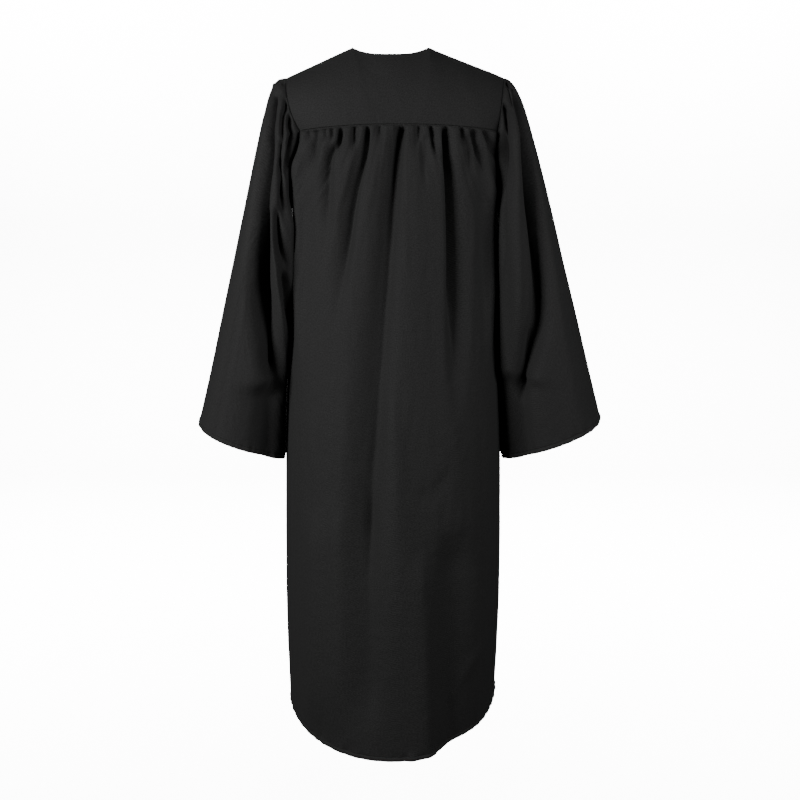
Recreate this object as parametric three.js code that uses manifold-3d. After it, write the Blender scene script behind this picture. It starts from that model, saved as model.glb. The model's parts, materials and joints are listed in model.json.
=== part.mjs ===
// Choir robe, worn form with no wearer. Millimetres, +Z up, the front faces -Y, +X is the wearer's left.
// The origin lies midway between the two neck points, where the wearer's shoulders carry the robe.
// Every cloth piece is a thin wall on a grid of points worked out from the section and fold tables below.
import * as THREE from "three";
import { mergeVertices } from "three/addons/utils/BufferGeometryUtils.js";
import Module from "manifold-3d";

const wasm = await Module();
wasm.setup();

// ---- Driving sizes ----
const WALL = 2;
const SEAM_SETBACK = 0.16;
const QUARTER = Math.PI / 2;

const NECK = { half: 71, shift: 8, backDepth: 62, backDrop: 17 };
const SHOULDER = { half: 200, drop: 53, shift: -1 };
const BACK_SEAM = { left: 172, right: 187, zMiddle: -141, zEnd: -151 };
const FRONT_SEAM = { half: 178, zMiddle: -118, zEnd: -128 };
const UNDERARM_Z = -290;
const V_NECK_Z = -166;
const HEM_Z = { left: -1283, right: -1268, back: -1311, front: -1300 };
const ZIP = { half: 4.5, endZ: -950, seamHalf: 0.2, tapeOuter: 15, tapeInner: 1.2, tapeWall: 1.2, tapeGap: 0.35 };

// ---- Body sections, from the yoke seam down to the hem: half width, depth behind and in front of ----
// ---- the side seams, sideways shift of the middle, and how square the section is               ----
const BODY_SECTIONS = [
  { z: -100, half: 205, back: 100, front: 97, shift: -4, square: 2.5 },
  { z: -150, half: 203, back: 108, front: 105, shift: -5, square: 2.5 },
  { z: -210, half: 196, back: 124, front: 118, shift: -1, square: 2.45 },
  { z: -290, half: 190, back: 133, front: 127, shift: 2, square: 2.4 },
  { z: -400, half: 192, back: 143, front: 137, shift: 4, square: 2.35 },
  { z: -550, half: 202, back: 158, front: 152, shift: 4, square: 2.3 },
  { z: -700, half: 210, back: 176, front: 168, shift: 4, square: 2.25 },
  { z: -900, half: 215, back: 200, front: 190, shift: 4, square: 2.2 },
  { z: -1100, half: 217, back: 222, front: 208, shift: 5, square: 2.15 },
  { z: -1320, half: 211, back: 241, front: 222, shift: 6, square: 2.1 },
];

// ---- Folds of the body cloth: where each trough (minus) or ridge (plus) starts and ends, its place ----
// ---- across the garment at both ends and halfway, its width, and its lift                          ----
const BACK_FOLDS = [
  { fromZ: -151, toZ: -245, x: [142, 147, 152], width: [8, 12], lift: -6 },
  { fromZ: -151, toZ: -310, x: [96, 110, 128], width: [8, 12], lift: -8 },
  { fromZ: -151, toZ: -480, x: [48, 80, 112], width: [9, 16], lift: -10 },
  { fromZ: -151, toZ: -960, x: [-14, 24, 64], width: [9, 26], lift: -10 },
  { fromZ: -151, toZ: -200, x: [-67, -72, -78], width: [7, 8], lift: -6 },
  { fromZ: -151, toZ: -600, x: [-94, -120, -125], width: [9, 14], lift: -13 },
  { fromZ: -151, toZ: -260, x: [-142, -158, -164], width: [8, 10], lift: -6 },
  { fromZ: -700, toZ: -1500, x: [60, 84, 92], width: [30, 40], lift: -13 },
  { fromZ: -760, toZ: -1600, x: [-170, -60, -20], width: [40, 46], lift: 12 },
  { fromZ: -900, toZ: -1600, x: [-165, -138, -124], width: [34, 56], lift: -12 },
  { fromZ: -800, toZ: -1600, x: [150, 158, 160], width: [36, 44], lift: 8 },
];
const FRONT_FOLDS = [
  { fromZ: -124, toZ: -420, x: [62, 74, 84], width: [9, 16], lift: -9 },
  { fromZ: -124, toZ: -900, x: [98, 104, 96], width: [9, 26], lift: -11 },
  { fromZ: -124, toZ: -330, x: [136, 144, 150], width: [8, 12], lift: -7 },
  { fromZ: -650, toZ: -1600, x: [60, 66, 72], width: [30, 38], lift: 9 },
  { fromZ: -700, toZ: -1600, x: [124, 130, 134], width: [30, 42], lift: -11 },
  { fromZ: -124, toZ: -360, x: [-56, -66, -72], width: [8, 14], lift: -8 },
  { fromZ: -124, toZ: -820, x: [-88, -98, -104], width: [9, 24], lift: -12 },
  { fromZ: -124, toZ: -300, x: [-126, -138, -146], width: [8, 12], lift: -7 },
  { fromZ: -700, toZ: -1600, x: [-64, -76, -84], width: [30, 40], lift: 10 },
  { fromZ: -780, toZ: -1600, x: [-130, -138, -142], width: [30, 42], lift: -10 },
];
const GATHER_RISE = 22;
const GATHER_PUFF = 5;

// ---- Sleeve: its outer and inner lines from the armhole down to the cuff, its half depth, and how ----
// ---- far its middle hangs forward                                                                  ----
const SLEEVE_LINES = [
  { t: 0.0, outerX: 200, outerZ: -53, innerX: 191, innerZ: -290, deep: 72, forward: 0 },
  { t: 0.03, outerX: 213, outerZ: -57, innerX: 196, innerZ: -293, deep: 84, forward: 0 },
  { t: 0.08, outerX: 225, outerZ: -72, innerX: 199, innerZ: -303, deep: 95, forward: 1 },
  { t: 0.14, outerX: 235, outerZ: -98, innerX: 198, innerZ: -324, deep: 103, forward: 2 },
  { t: 0.24, outerX: 251, outerZ: -162, innerX: 194, innerZ: -372, deep: 111, forward: 5 },
  { t: 0.38, outerX: 275, outerZ: -259, innerX: 193, innerZ: -444, deep: 118, forward: 9 },
  { t: 0.54, outerX: 302, outerZ: -370, innerX: 194, innerZ: -530, deep: 124, forward: 13 },
  { t: 0.7, outerX: 330, outerZ: -482, innerX: 197, innerZ: -614, deep: 128, forward: 16 },
  { t: 0.85, outerX: 357, outerZ: -590, innerX: 201, innerZ: -695, deep: 131, forward: 18 },
  { t: 1.0, outerX: 385, outerZ: -695, innerX: 206, innerZ: -775, deep: 133, forward: 20 },
];
const SLEEVE_SQUARE = 2.25;
const ARMHOLE_REACH = 0.3;
const SLEEVE_CLEARANCE = 6;

// ---- Sleeve folds: angle round the sleeve in degrees (0 outer side, 90 back, 180 inner side, 270 ----
// ---- front) at both ends, the stretch of the sleeve, the width in degrees and the lift            ----
const SLEEVE_FOLDS = {
  left: [
    { fromT: 0.0, toT: 0.75, turn: [62, 60], width: [10, 9], lift: -13 },
    { fromT: 0.0, toT: 0.6, turn: [88, 84], width: [7, 8], lift: 7 },
    { fromT: 0.0, toT: 0.45, turn: [112, 112], width: [9, 9], lift: -10 },
    { fromT: 0.0, toT: 0.5, turn: [300, 296], width: [10, 11], lift: -11 },
    { fromT: 0.0, toT: 0.8, turn: [255, 262], width: [10, 11], lift: -10 },
    { fromT: 0.0, toT: 0.3, turn: [18, 22], width: [9, 9], lift: -5 },
  ],
  right: [
    { fromT: 0.0, toT: 0.62, turn: [56, 62], width: [9, 11], lift: -12 },
    { fromT: 0.0, toT: 0.6, turn: [82, 86], width: [9, 11], lift: 7 },
    { fromT: 0.0, toT: 0.4, turn: [114, 116], width: [8, 9], lift: -11 },
    { fromT: 0.0, toT: 0.55, turn: [296, 300], width: [10, 11], lift: -11 },
    { fromT: 0.0, toT: 0.7, turn: [258, 252], width: [10, 11], lift: -9 },
    { fromT: 0.0, toT: 0.3, turn: [340, 336], width: [9, 9], lift: -5 },
  ],
};
const SIDES = {
  left: { sign: 1, seamEnd: BACK_SEAM.left, spread: [3, 2, 2], cuffDrop: 8 },
  right: { sign: -1, seamEnd: BACK_SEAM.right, spread: [-4, 14, 20], cuffDrop: 0 },
};

// ---- Zip slider and its pull tab: x across, y in from the cloth face, z up the zip ----
const SLIDER = { belowV: 9.5, halfLength: 5.5, topHalf: 4.1, lowHalf: 4.5, topRise: 1.3, plateGap: 0.3 };
const BRIDGE = { half: 1.3, window: 2.2, post: 1.4, opening: 2.6, bar: 1.1 };
const PULL = { thick: 1.4, half: 3.2, arm: 1.3, bar: 0.8, window: 6.3, neckHalf: 2.3, length: 27, endHalf: 3.6 };

// ---- Grid rows and columns ----
const BACK_COLUMNS = 34;
const FRONT_COLUMNS = 13;
const YOKE_ROWS = [0, 0.2, 0.4, 0.6, 0.8, 1];
const ARMHOLE_TURNS = [0, 6, 14, 24, 35, 46, 57, 68, 79, 90];
const V_NECK_TURN = 25.1;
const FRONT_TURNS = [0, 7, 16, V_NECK_TURN, 36, 47, 58, 69, 80, 90];
const ZIP_END_DROP = 0.649;
const BODY_DROPS = [0.07, 0.15, 0.24, 0.34, 0.44, 0.54, ZIP_END_DROP, 0.66, 0.75, 0.84, 0.93, 1];
const SLEEVE_SPLIT = 0.41;
const SLEEVE_ROWS = [0, 0.025, 0.065, 0.12, 0.2, 0.3, SLEEVE_SPLIT, 0.53, 0.65, 0.77, 0.89, 1];

// ---- Small maths ----
const mix = (a, b, k) => a + (b - a) * k;
const clamp01 = (k) => Math.min(1, Math.max(0, k));
const smooth = (k) => clamp01(k) ** 2 * (3 - 2 * clamp01(k));
const radians = (degrees) => degrees * Math.PI / 180;
const vector = (x, y, z) => new THREE.Vector3(x, y, z);

// Value of one column of a table at a place between its rows, on a smooth curve through them.
function lookUp(table, place, column, at) {
  const descending = table[0][place] > table[table.length - 1][place];
  const order = descending ? -1 : 1;
  const last = table.length - 2;
  let row = 0;
  while (row < last && (at - table[row + 1][place]) * order > 0) row += 1;
  const slope = (i) => {
    const a = table[Math.max(i - 1, 0)];
    const b = table[Math.min(i + 1, table.length - 1)];
    return (b[column] - a[column]) / (b[place] - a[place]);
  };
  const span = table[row + 1][place] - table[row][place];
  const k = clamp01((at - table[row][place]) / span);
  const rise = (k ** 3 - 2 * k ** 2 + k) * slope(row) + (k ** 3 - k ** 2) * slope(row + 1);
  return mix(table[row][column], table[row + 1][column], k * k * (3 - 2 * k)) + rise * span;
}

// ---- Body surface: angle 0 is the centre back, 90 degrees the wearer's left, 180 the centre front ----
function bodySection(z, front) {
  return {
    half: lookUp(BODY_SECTIONS, "z", "half", z),
    deep: lookUp(BODY_SECTIONS, "z", front ? "front" : "back", z),
    shift: lookUp(BODY_SECTIONS, "z", "shift", z),
    square: lookUp(BODY_SECTIONS, "z", "square", z),
  };
}

function sectionRadius(section, angle) {
  const across = Math.abs(Math.sin(angle) / section.half) ** section.square;
  const along = Math.abs(Math.cos(angle) / section.deep) ** section.square;
  return (across + along) ** (-1 / section.square);
}

// The angle at which the section has a given place across the garment.
function angleAt(x, z, front) {
  const section = bodySection(z, front);
  const share = clamp01(Math.abs(x - section.shift) / section.half);
  const y = section.deep * (1 - share ** section.square) ** (1 / section.square);
  return Math.atan2(x - section.shift, front ? -y : y);
}

function bodyNormal(angle, z) {
  const section = bodySection(z, Math.cos(angle) < 0);
  const radius = sectionRadius(section, angle);
  const power = section.square - 1;
  const x = radius * Math.sin(angle) / section.half;
  const y = radius * Math.cos(angle) / section.deep;
  const across = Math.sign(x) * Math.abs(x) ** power / section.half;
  const along = Math.sign(y) * Math.abs(y) ** power / section.deep;
  return vector(across, along, 0).normalize();
}

// Lift of the cloth at a point from every fold that passes it.
function foldLift(folds, angle, z, radius, front, seamZ) {
  const gathered = smooth((seamZ - z) / GATHER_RISE);
  let lift = GATHER_PUFF * gathered * (1 - smooth((seamZ - z - 40) / 160));
  for (const fold of folds) {
    const k = (z - fold.fromZ) / (fold.toZ - fold.fromZ);
    if (k < 0 || k > 1) continue;
    const sideStep = fold.x[0] * (1 - k) * (1 - 2 * k) + fold.x[1] * 4 * k * (1 - k) + fold.x[2] * k * (2 * k - 1);
    const away = radius * (angle - angleAt(sideStep, z, front)) / mix(fold.width[0], fold.width[1], k);
    const fromSeam = fold.fromZ > seamZ - 10 ? gathered : smooth(k / 0.35);
    lift += fold.lift * Math.exp(-away * away) * fromSeam * (1 - smooth((k - 0.35) / 0.65));
  }
  return lift;
}

function bodyPoint(angle, z, folds, seamZ) {
  const front = Math.cos(angle) < 0;
  const section = bodySection(z, front);
  const radius = sectionRadius(section, angle);
  const atSide = smooth((Math.abs(Math.abs(angle) - QUARTER) - 0.1) / 0.35);
  const lift = foldLift(folds, angle, z, radius, front, seamZ) * atSide;
  const point = vector(section.shift + radius * Math.sin(angle), radius * Math.cos(angle), z);
  return point.addScaledVector(bodyNormal(angle, z), lift);
}

// ---- Seam lines ----
function backSeamZ(share) {
  return mix(BACK_SEAM.zMiddle, BACK_SEAM.zEnd, Math.abs(share) ** 3);
}

function frontSeamZ(share) {
  return mix(FRONT_SEAM.zMiddle, FRONT_SEAM.zEnd, share ** 2);
}

function hemZ(angle) {
  const middle = Math.cos(angle) > 0 ? HEM_Z.back : HEM_Z.front;
  const side = Math.sin(angle) > 0 ? HEM_Z.left : HEM_Z.right;
  return mix(side, middle, Math.cos(angle) ** 2);
}

function backEndAngle(side) {
  return Math.abs(angleAt(side.sign * side.seamEnd, BACK_SEAM.zEnd, false));
}

function frontEndAngle(side) {
  return Math.abs(angleAt(side.sign * FRONT_SEAM.half, FRONT_SEAM.zEnd, true));
}

// Inner edge of a front: down the V of the neck, along the zip, then closed as a plain seam.
function frontEdgeX(side, z) {
  if (z > V_NECK_Z) {
    const open = 1 - z / V_NECK_Z;
    return side.sign * mix(ZIP.half, NECK.half, open) + NECK.shift * open;
  }
  return side.sign * mix(ZIP.half, ZIP.seamHalf, smooth((ZIP.endZ - z) / 8));
}

function shoulderPoint(side, share) {
  const neckX = side.sign * NECK.half + NECK.shift;
  const tipX = side.sign * SHOULDER.half + SHOULDER.shift;
  return vector(mix(neckX, tipX, share), 0, -SHOULDER.drop * share);
}

function shoulderNormal(side) {
  return vector(side.sign * SHOULDER.drop, 0, SHOULDER.half - NECK.half).normalize();
}

// ---- Yoke surfaces ----
const NECK_SHARE = 0.42;

function backYokePoint(share, down) {
  const side = share < 0 ? SIDES.right : SIDES.left;
  const inNeck = Math.abs(share) < NECK_SHARE;
  const turn = clamp01(Math.abs(share) / NECK_SHARE) * QUARTER;
  const neckX = NECK.shift + side.sign * NECK.half * Math.sin(turn);
  const neckZ = -NECK.backDrop * (1 - Math.sin(turn) ** 3);
  const top = inNeck
    ? vector(neckX, NECK.backDepth * Math.cos(turn), neckZ)
    : shoulderPoint(side, (Math.abs(share) - NECK_SHARE) / (1 - NECK_SHARE));
  const seamZ = backSeamZ(share);
  const bottom = bodyPoint(share * backEndAngle(side), seamZ, [], seamZ);
  const start = Math.asin(top.y / bottom.y);
  const roll = mix(start, QUARTER, down);
  const fall = Math.cos(roll) / Math.cos(start);
  const sideways = down ** (1 + 1.2 * share ** 4);
  return vector(mix(top.x, bottom.x, sideways), bottom.y * Math.sin(roll), mix(bottom.z, top.z, fall));
}

function frontYokePoint(side, share, down) {
  const top = shoulderPoint(side, share);
  const seamZ = frontSeamZ(share);
  const inner = nearFront(side, angleAt(frontEdgeX(side, seamZ), seamZ, true));
  const angle = mix(inner, side.sign * frontEndAngle(side), share);
  const bottom = bodyPoint(angle, seamZ, [], seamZ);
  const fall = 1 - Math.cos(down * QUARTER);
  const sideways = mix(fall, down ** 2.2, share);
  return vector(mix(top.x, bottom.x, sideways), mix(top.y, bottom.y, Math.sin(down * QUARTER)),
    mix(top.z, bottom.z, fall));
}

// ---- Panel surfaces ----
// The rows of a panel: first down the armhole, then from the underarm to the hem.
function panelRows(turns) {
  const upper = turns.map((degrees) => ({ turn: radians(degrees), drop: 0 }));
  const lower = BODY_DROPS.map((drop) => ({ turn: QUARTER, drop }));
  return [...upper, ...lower];
}

function rowZ(row, seamZ, angle, share) {
  const fall = mix(row.turn / QUARTER, Math.sin(row.turn), share ** 4);
  return mix(mix(seamZ, UNDERARM_Z, fall), hemZ(angle), row.drop);
}

function backPanelPoint(share, row) {
  const side = share < 0 ? SIDES.right : SIDES.left;
  const reach = mix(backEndAngle(side), QUARTER, 1 - Math.cos(row.turn));
  const angle = share * reach;
  const seamZ = backSeamZ(share);
  return { angle, seamZ, z: rowZ(row, seamZ, angle, share) };
}

// An angle counted the long way round, so that it stays near the centre front on the side's own side.
function nearFront(side, angle) {
  return angle * side.sign < 0 ? angle + side.sign * 2 * Math.PI : angle;
}

function frontPanelPoint(side, share, row) {
  const seamZ = frontSeamZ(share);
  const reach = mix(frontEndAngle(side), QUARTER, 1 - Math.cos(row.turn));
  const centreZ = rowZ(row, FRONT_SEAM.zMiddle, Math.PI, 0);
  const inner = nearFront(side, angleAt(frontEdgeX(side, centreZ), centreZ, true));
  const angle = mix(inner, side.sign * reach, share);
  return { angle, seamZ, z: rowZ(row, seamZ, angle, share) };
}

// ---- Walls ----
// A grid is rows of { point, normal }. The normal may be left out, and is then worked out from the grid.
function gridNormal(points, row, column, closed, facing) {
  const columns = points[0].length;
  const left = closed ? (column + columns - 1) % columns : Math.max(column - 1, 0);
  const right = closed ? (column + 1) % columns : Math.min(column + 1, columns - 1);
  const above = Math.max(row - 1, 0);
  const below = Math.min(row + 1, points.length - 1);
  const across = points[row][right].clone().sub(points[row][left]);
  const down = points[below][column].clone().sub(points[above][column]);
  return across.cross(down).normalize().multiplyScalar(facing);
}

// Moves one edge of the grid a little way back from its seam line.
function setBack(points, edges) {
  const lastRow = points.length - 1;
  const lastColumn = points[0].length - 1;
  const towards = (from, to) => to.clone().sub(from).setLength(SEAM_SETBACK);
  const steps = points.map((row) => row.map(() => vector(0, 0, 0)));
  points.forEach((row, i) => row.forEach((point, j) => {
    if (edges.top && i === 0) steps[i][j].add(towards(point, points[1][j]));
    if (edges.bottom && i === lastRow) steps[i][j].add(towards(point, points[lastRow - 1][j]));
    if (edges.first && j === 0) steps[i][j].add(towards(point, row[1]));
    if (edges.last && j === lastColumn) steps[i][j].add(towards(point, row[lastColumn - 1]));
  }));
  return points.map((row, i) => row.map((point, j) => point.clone().add(steps[i][j])));
}

// A closed solid between the outer grid and the same grid moved in by the wall.
function wallGeometry(outer, normals, wall, closed) {
  const rows = outer.length;
  const columns = outer[0].length;
  const positions = [];
  const put = (point) => positions.push(point.x, point.y, point.z);
  outer.forEach((row) => row.forEach(put));
  outer.forEach((row, i) => row.forEach((point, j) => put(point.clone().addScaledVector(normals[i][j], -wall))));
  const at = (i, j, layer) => layer * rows * columns + i * columns + (j % columns);
  const faces = [];
  const quad = (a, b, c, d) => faces.push(a, b, c, a, c, d);
  const span = closed ? columns : columns - 1;
  for (let i = 0; i < rows - 1; i += 1) {
    for (let j = 0; j < span; j += 1) {
      quad(at(i, j, 0), at(i + 1, j, 0), at(i + 1, j + 1, 0), at(i, j + 1, 0));
      quad(at(i, j, 1), at(i, j + 1, 1), at(i + 1, j + 1, 1), at(i + 1, j, 1));
    }
  }
  for (let j = 0; j < span; j += 1) {
    quad(at(0, j, 0), at(0, j + 1, 0), at(0, j + 1, 1), at(0, j, 1));
    quad(at(rows - 1, j, 0), at(rows - 1, j, 1), at(rows - 1, j + 1, 1), at(rows - 1, j + 1, 0));
  }
  if (!closed) {
    for (let i = 0; i < rows - 1; i += 1) {
      quad(at(i, 0, 0), at(i, 0, 1), at(i + 1, 0, 1), at(i + 1, 0, 0));
      quad(at(i, columns - 1, 0), at(i + 1, columns - 1, 0), at(i + 1, columns - 1, 1), at(i, columns - 1, 1));
    }
  }
  const geometry = new THREE.BufferGeometry();
  geometry.setAttribute("position", new THREE.Float32BufferAttribute(positions, 3));
  geometry.setIndex(faces);
  return geometry;
}

// Turns the faces round if the solid would be inside out.
function facingOut(geometry) {
  const position = geometry.attributes.position;
  const index = geometry.index.array;
  const corner = (k) => vector().fromBufferAttribute(position, index[k]);
  let volume = 0;
  for (let k = 0; k < index.length; k += 3) {
    volume += corner(k).dot(corner(k + 1).cross(corner(k + 2)));
  }
  if (volume < 0) {
    for (let k = 0; k < index.length; k += 3) {
      [index[k + 1], index[k + 2]] = [index[k + 2], index[k + 1]];
    }
  }
  return geometry;
}

function named(name, geometry, material) {
  const mesh = new THREE.Mesh(geometry, material);
  mesh.name = name;
  return mesh;
}

function gridNormals(grid, points, closed, facing) {
  return grid.map((row, i) => row.map((cell, j) => cell.normal ?? gridNormal(points, i, j, closed, facing)));
}

function clothMesh(name, grid, options) {
  const { closed = false, edges = {}, facing } = options;
  const points = setBack(grid.map((row) => row.map((cell) => cell.point)), edges);
  const normals = gridNormals(grid, points, closed, facing);
  return named(name, facingOut(wallGeometry(points, normals, WALL, closed)), gownCloth());
}

// ---- Joining simple solids ----
function solidOf(geometry) {
  geometry.deleteAttribute("normal");
  geometry.deleteAttribute("uv");
  const merged = mergeVertices(geometry, 1e-4);
  return new wasm.Manifold(new wasm.Mesh({
    numProp: 3,
    vertProperties: new Float32Array(merged.attributes.position.array),
    triVerts: new Uint32Array(merged.index.array),
  }));
}

function boxSolid(x, y, z) {
  const box = new THREE.BoxGeometry(x[1] - x[0], y[1] - y[0], z[1] - z[0]);
  box.translate((x[0] + x[1]) / 2, (y[0] + y[1]) / 2, (z[0] + z[1]) / 2);
  return solidOf(box);
}

function geometryOf(solid) {
  const mesh = solid.getMesh();
  const geometry = new THREE.BufferGeometry();
  geometry.setAttribute("position", new THREE.BufferAttribute(new Float32Array(mesh.vertProperties), 3));
  geometry.setIndex(new THREE.BufferAttribute(new Uint32Array(mesh.triVerts), 1));
  return geometry;
}

// ---- Materials ----
function gownCloth() {
  return new THREE.MeshStandardMaterial({ color: 0x19191b, roughness: 0.86, metalness: 0 });
}

function tapeCloth() {
  return new THREE.MeshStandardMaterial({ color: 0x151516, roughness: 0.9, metalness: 0 });
}

function blackenedZinc() {
  return new THREE.MeshStandardMaterial({ color: 0x202022, roughness: 0.4, metalness: 0.8 });
}

// ---- Pieces ----
const shares = (count) => Array.from({ length: count + 1 }, (_, i) => i / count);
const acrossBack = shares(BACK_COLUMNS).map((share) => 1 - 2 * share);

function backYoke() {
  const grid = YOKE_ROWS.map((down) => acrossBack.map((share) => {
    const side = share < 0 ? SIDES.right : SIDES.left;
    const point = backYokePoint(share, down);
    if (down === 1) return { point, normal: bodyNormal(share * backEndAngle(side), point.z) };
    if (down === 0 && Math.abs(share) >= NECK_SHARE) return { point, normal: shoulderNormal(side) };
    return { point };
  }));
  return clothMesh("back_yoke", grid, { facing: -1, edges: { top: true, bottom: true, first: true, last: true } });
}

function frontYoke(sideName) {
  const side = SIDES[sideName];
  const grid = YOKE_ROWS.map((down) => shares(FRONT_COLUMNS).map((share) => {
    const point = frontYokePoint(side, share, down);
    if (down === 0) return { point, normal: shoulderNormal(side) };
    if (down < 1) return { point };
    return { point, normal: bodyNormal(Math.atan2(point.x, point.y), point.z) };
  }));
  const edges = { top: true, bottom: true, last: true };
  return clothMesh(`front_yoke_${sideName}`, grid, { facing: -side.sign, edges });
}

function backPanel() {
  const grid = panelRows(ARMHOLE_TURNS).map((row) => acrossBack.map((share) => {
    const { angle, seamZ, z } = backPanelPoint(share, row);
    const point = bodyPoint(angle, z, BACK_FOLDS, seamZ);
    const onSeam = row.turn === 0 || (Math.abs(share) === 1 && row.turn === QUARTER);
    return onSeam ? { point, normal: bodyNormal(angle, z) } : { point };
  }));
  return clothMesh("back_panel", grid, { facing: -1, edges: { top: true, first: true, last: true } });
}

function frontPanelGrid(side, folds) {
  return panelRows(FRONT_TURNS).map((row) => shares(FRONT_COLUMNS).map((share) => {
    const { angle, seamZ, z } = frontPanelPoint(side, share, row);
    const point = bodyPoint(angle, z, folds, seamZ);
    const onSeam = row.turn === 0 || share === 0 || (share === 1 && row.turn === QUARTER);
    return onSeam ? { point, normal: bodyNormal(angle, z) } : { point };
  }));
}

function frontPanel(sideName) {
  const side = SIDES[sideName];
  const grid = frontPanelGrid(side, FRONT_FOLDS);
  return clothMesh(`front_panel_${sideName}`, grid, { facing: -side.sign, edges: { top: true, last: true } });
}

// The armhole, from the shoulder tip down the back to the underarm and up the front.
function armholeLoop(side) {
  const back = YOKE_ROWS.map((down) => backYokePoint(side.sign, down));
  const backLow = panelRows(ARMHOLE_TURNS).slice(1, ARMHOLE_TURNS.length).map((row) => {
    const { angle, seamZ, z } = backPanelPoint(side.sign, row);
    return bodyPoint(angle, z, BACK_FOLDS, seamZ);
  });
  const front = YOKE_ROWS.map((down) => frontYokePoint(side, 1, down));
  const frontLow = panelRows(FRONT_TURNS).slice(1, FRONT_TURNS.length - 1).map((row) => {
    const { angle, seamZ, z } = frontPanelPoint(side, 1, row);
    return bodyPoint(angle, z, FRONT_FOLDS, seamZ);
  });
  return [...back, ...backLow, ...frontLow.reverse(), ...front.slice(1).reverse()];
}

// How far round the sleeve each armhole point lies: 0 at the shoulder tip, 180 degrees at the underarm.
function loopTurns(loop, underarm) {
  const lengths = [0];
  for (let i = 1; i <= loop.length; i += 1) {
    lengths.push(lengths[i - 1] + loop[i - 1].distanceTo(loop[i % loop.length]));
  }
  const whole = lengths[loop.length];
  return loop.map((_, i) => (i <= underarm
    ? Math.PI * lengths[i] / lengths[underarm]
    : Math.PI * (1 + (lengths[i] - lengths[underarm]) / (whole - lengths[underarm]))));
}

function sleeveSection(side, t, turn) {
  const at = (column) => lookUp(SLEEVE_LINES, "t", column, t);
  const [top, middle, cuff] = side.spread;
  const spread = top * (1 - t) * (1 - 2 * t) + middle * 4 * t * (1 - t) + cuff * t * (2 * t - 1);
  const outerX = at("outerX") + spread * smooth(t / 0.03);
  const innerX = at("innerX");
  const square = 2 / SLEEVE_SQUARE;
  const out = Math.sign(Math.cos(turn)) * Math.abs(Math.cos(turn)) ** square;
  const deep = Math.sign(Math.sin(turn)) * Math.abs(Math.sin(turn)) ** square;
  const x = mix(innerX, outerX, (1 + out) / 2);
  const z = mix(at("innerZ"), at("outerZ") - side.cuffDrop * t ** 2, (1 + out) / 2);
  return vector(side.sign * x, at("deep") * deep - at("forward"), z);
}

// The inner side of the sleeve hangs against the body side, a little clear of it.
function clearOfBody(side, point) {
  const section = bodySection(point.z, point.y < 0);
  const share = clamp01(Math.abs(point.y) / section.deep);
  const bodyX = section.half * (1 - share ** section.square) ** (1 / section.square);
  const nearest = side.sign * section.shift + bodyX + SLEEVE_CLEARANCE * smooth((UNDERARM_Z + 6 - point.z) / 40);
  const away = side.sign * point.x - nearest;
  const blend = Math.sqrt(away * away + 36);
  if (point.z < UNDERARM_Z) point.x = side.sign * (nearest + (away + blend) / 2);
  return point;
}

function sleeveFoldLift(folds, t, turn) {
  let lift = 0;
  for (const fold of folds) {
    const k = (t - fold.fromT) / (fold.toT - fold.fromT);
    if (k < 0 || k > 1) continue;
    const place = mix(fold.turn[0], fold.turn[1], k);
    const away = (turn * 180 / Math.PI - place) / mix(fold.width[0], fold.width[1], k);
    lift += fold.lift * Math.exp(-away * away) * smooth(t / 0.06) * (1 - smooth((k - 0.4) / 0.6));
  }
  return lift;
}

function sleeveGrid(sideName) {
  const side = SIDES[sideName];
  const loop = armholeLoop(side);
  const underarm = YOKE_ROWS.length + ARMHOLE_TURNS.length - 2;
  const turns = loopTurns(loop, underarm);
  const middleZ = (loop[0].z + loop[underarm].z) / 2;
  return SLEEVE_ROWS.map((t) => loop.map((edge, j) => {
    const held = 1 - smooth(t / ARMHOLE_REACH);
    const section = sleeveSection(side, t, turns[j]);
    const offset = edge.clone().sub(sleeveSection(side, 0, turns[j])).multiplyScalar(held);
    const point = section.add(offset);
    const radial = vector(0, Math.sin(turns[j]), 0);
    radial.x = side.sign * Math.cos(turns[j]);
    point.addScaledVector(radial, sleeveFoldLift(SLEEVE_FOLDS[sideName], t, turns[j]));
    if (t > 0) return { point: clearOfBody(side, point) };
    return { point, normal: vector(0, edge.y, edge.z - middleZ).normalize() };
  }));
}

// A sleeve is two lengths of tube, the part round the upper arm and the bell below it.
function sleeve(sideName) {
  const grid = sleeveGrid(sideName);
  const split = SLEEVE_ROWS.indexOf(SLEEVE_SPLIT);
  const shape = { closed: true, facing: -SIDES[sideName].sign };
  const points = grid.map((row) => row.map((cell) => cell.point));
  const normals = gridNormals(grid, points, true, shape.facing);
  grid[split] = grid[split].map((cell, j) => ({ ...cell, normal: normals[split][j] }));
  const upper = clothMesh(`sleeve_${sideName}_upper`, grid.slice(0, split + 1), {
    ...shape,
    edges: { top: true, bottom: true },
  });
  const bell = clothMesh(`sleeve_${sideName}_bell`, grid.slice(split), { ...shape, edges: { top: true } });
  return [upper, bell];
}

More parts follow.
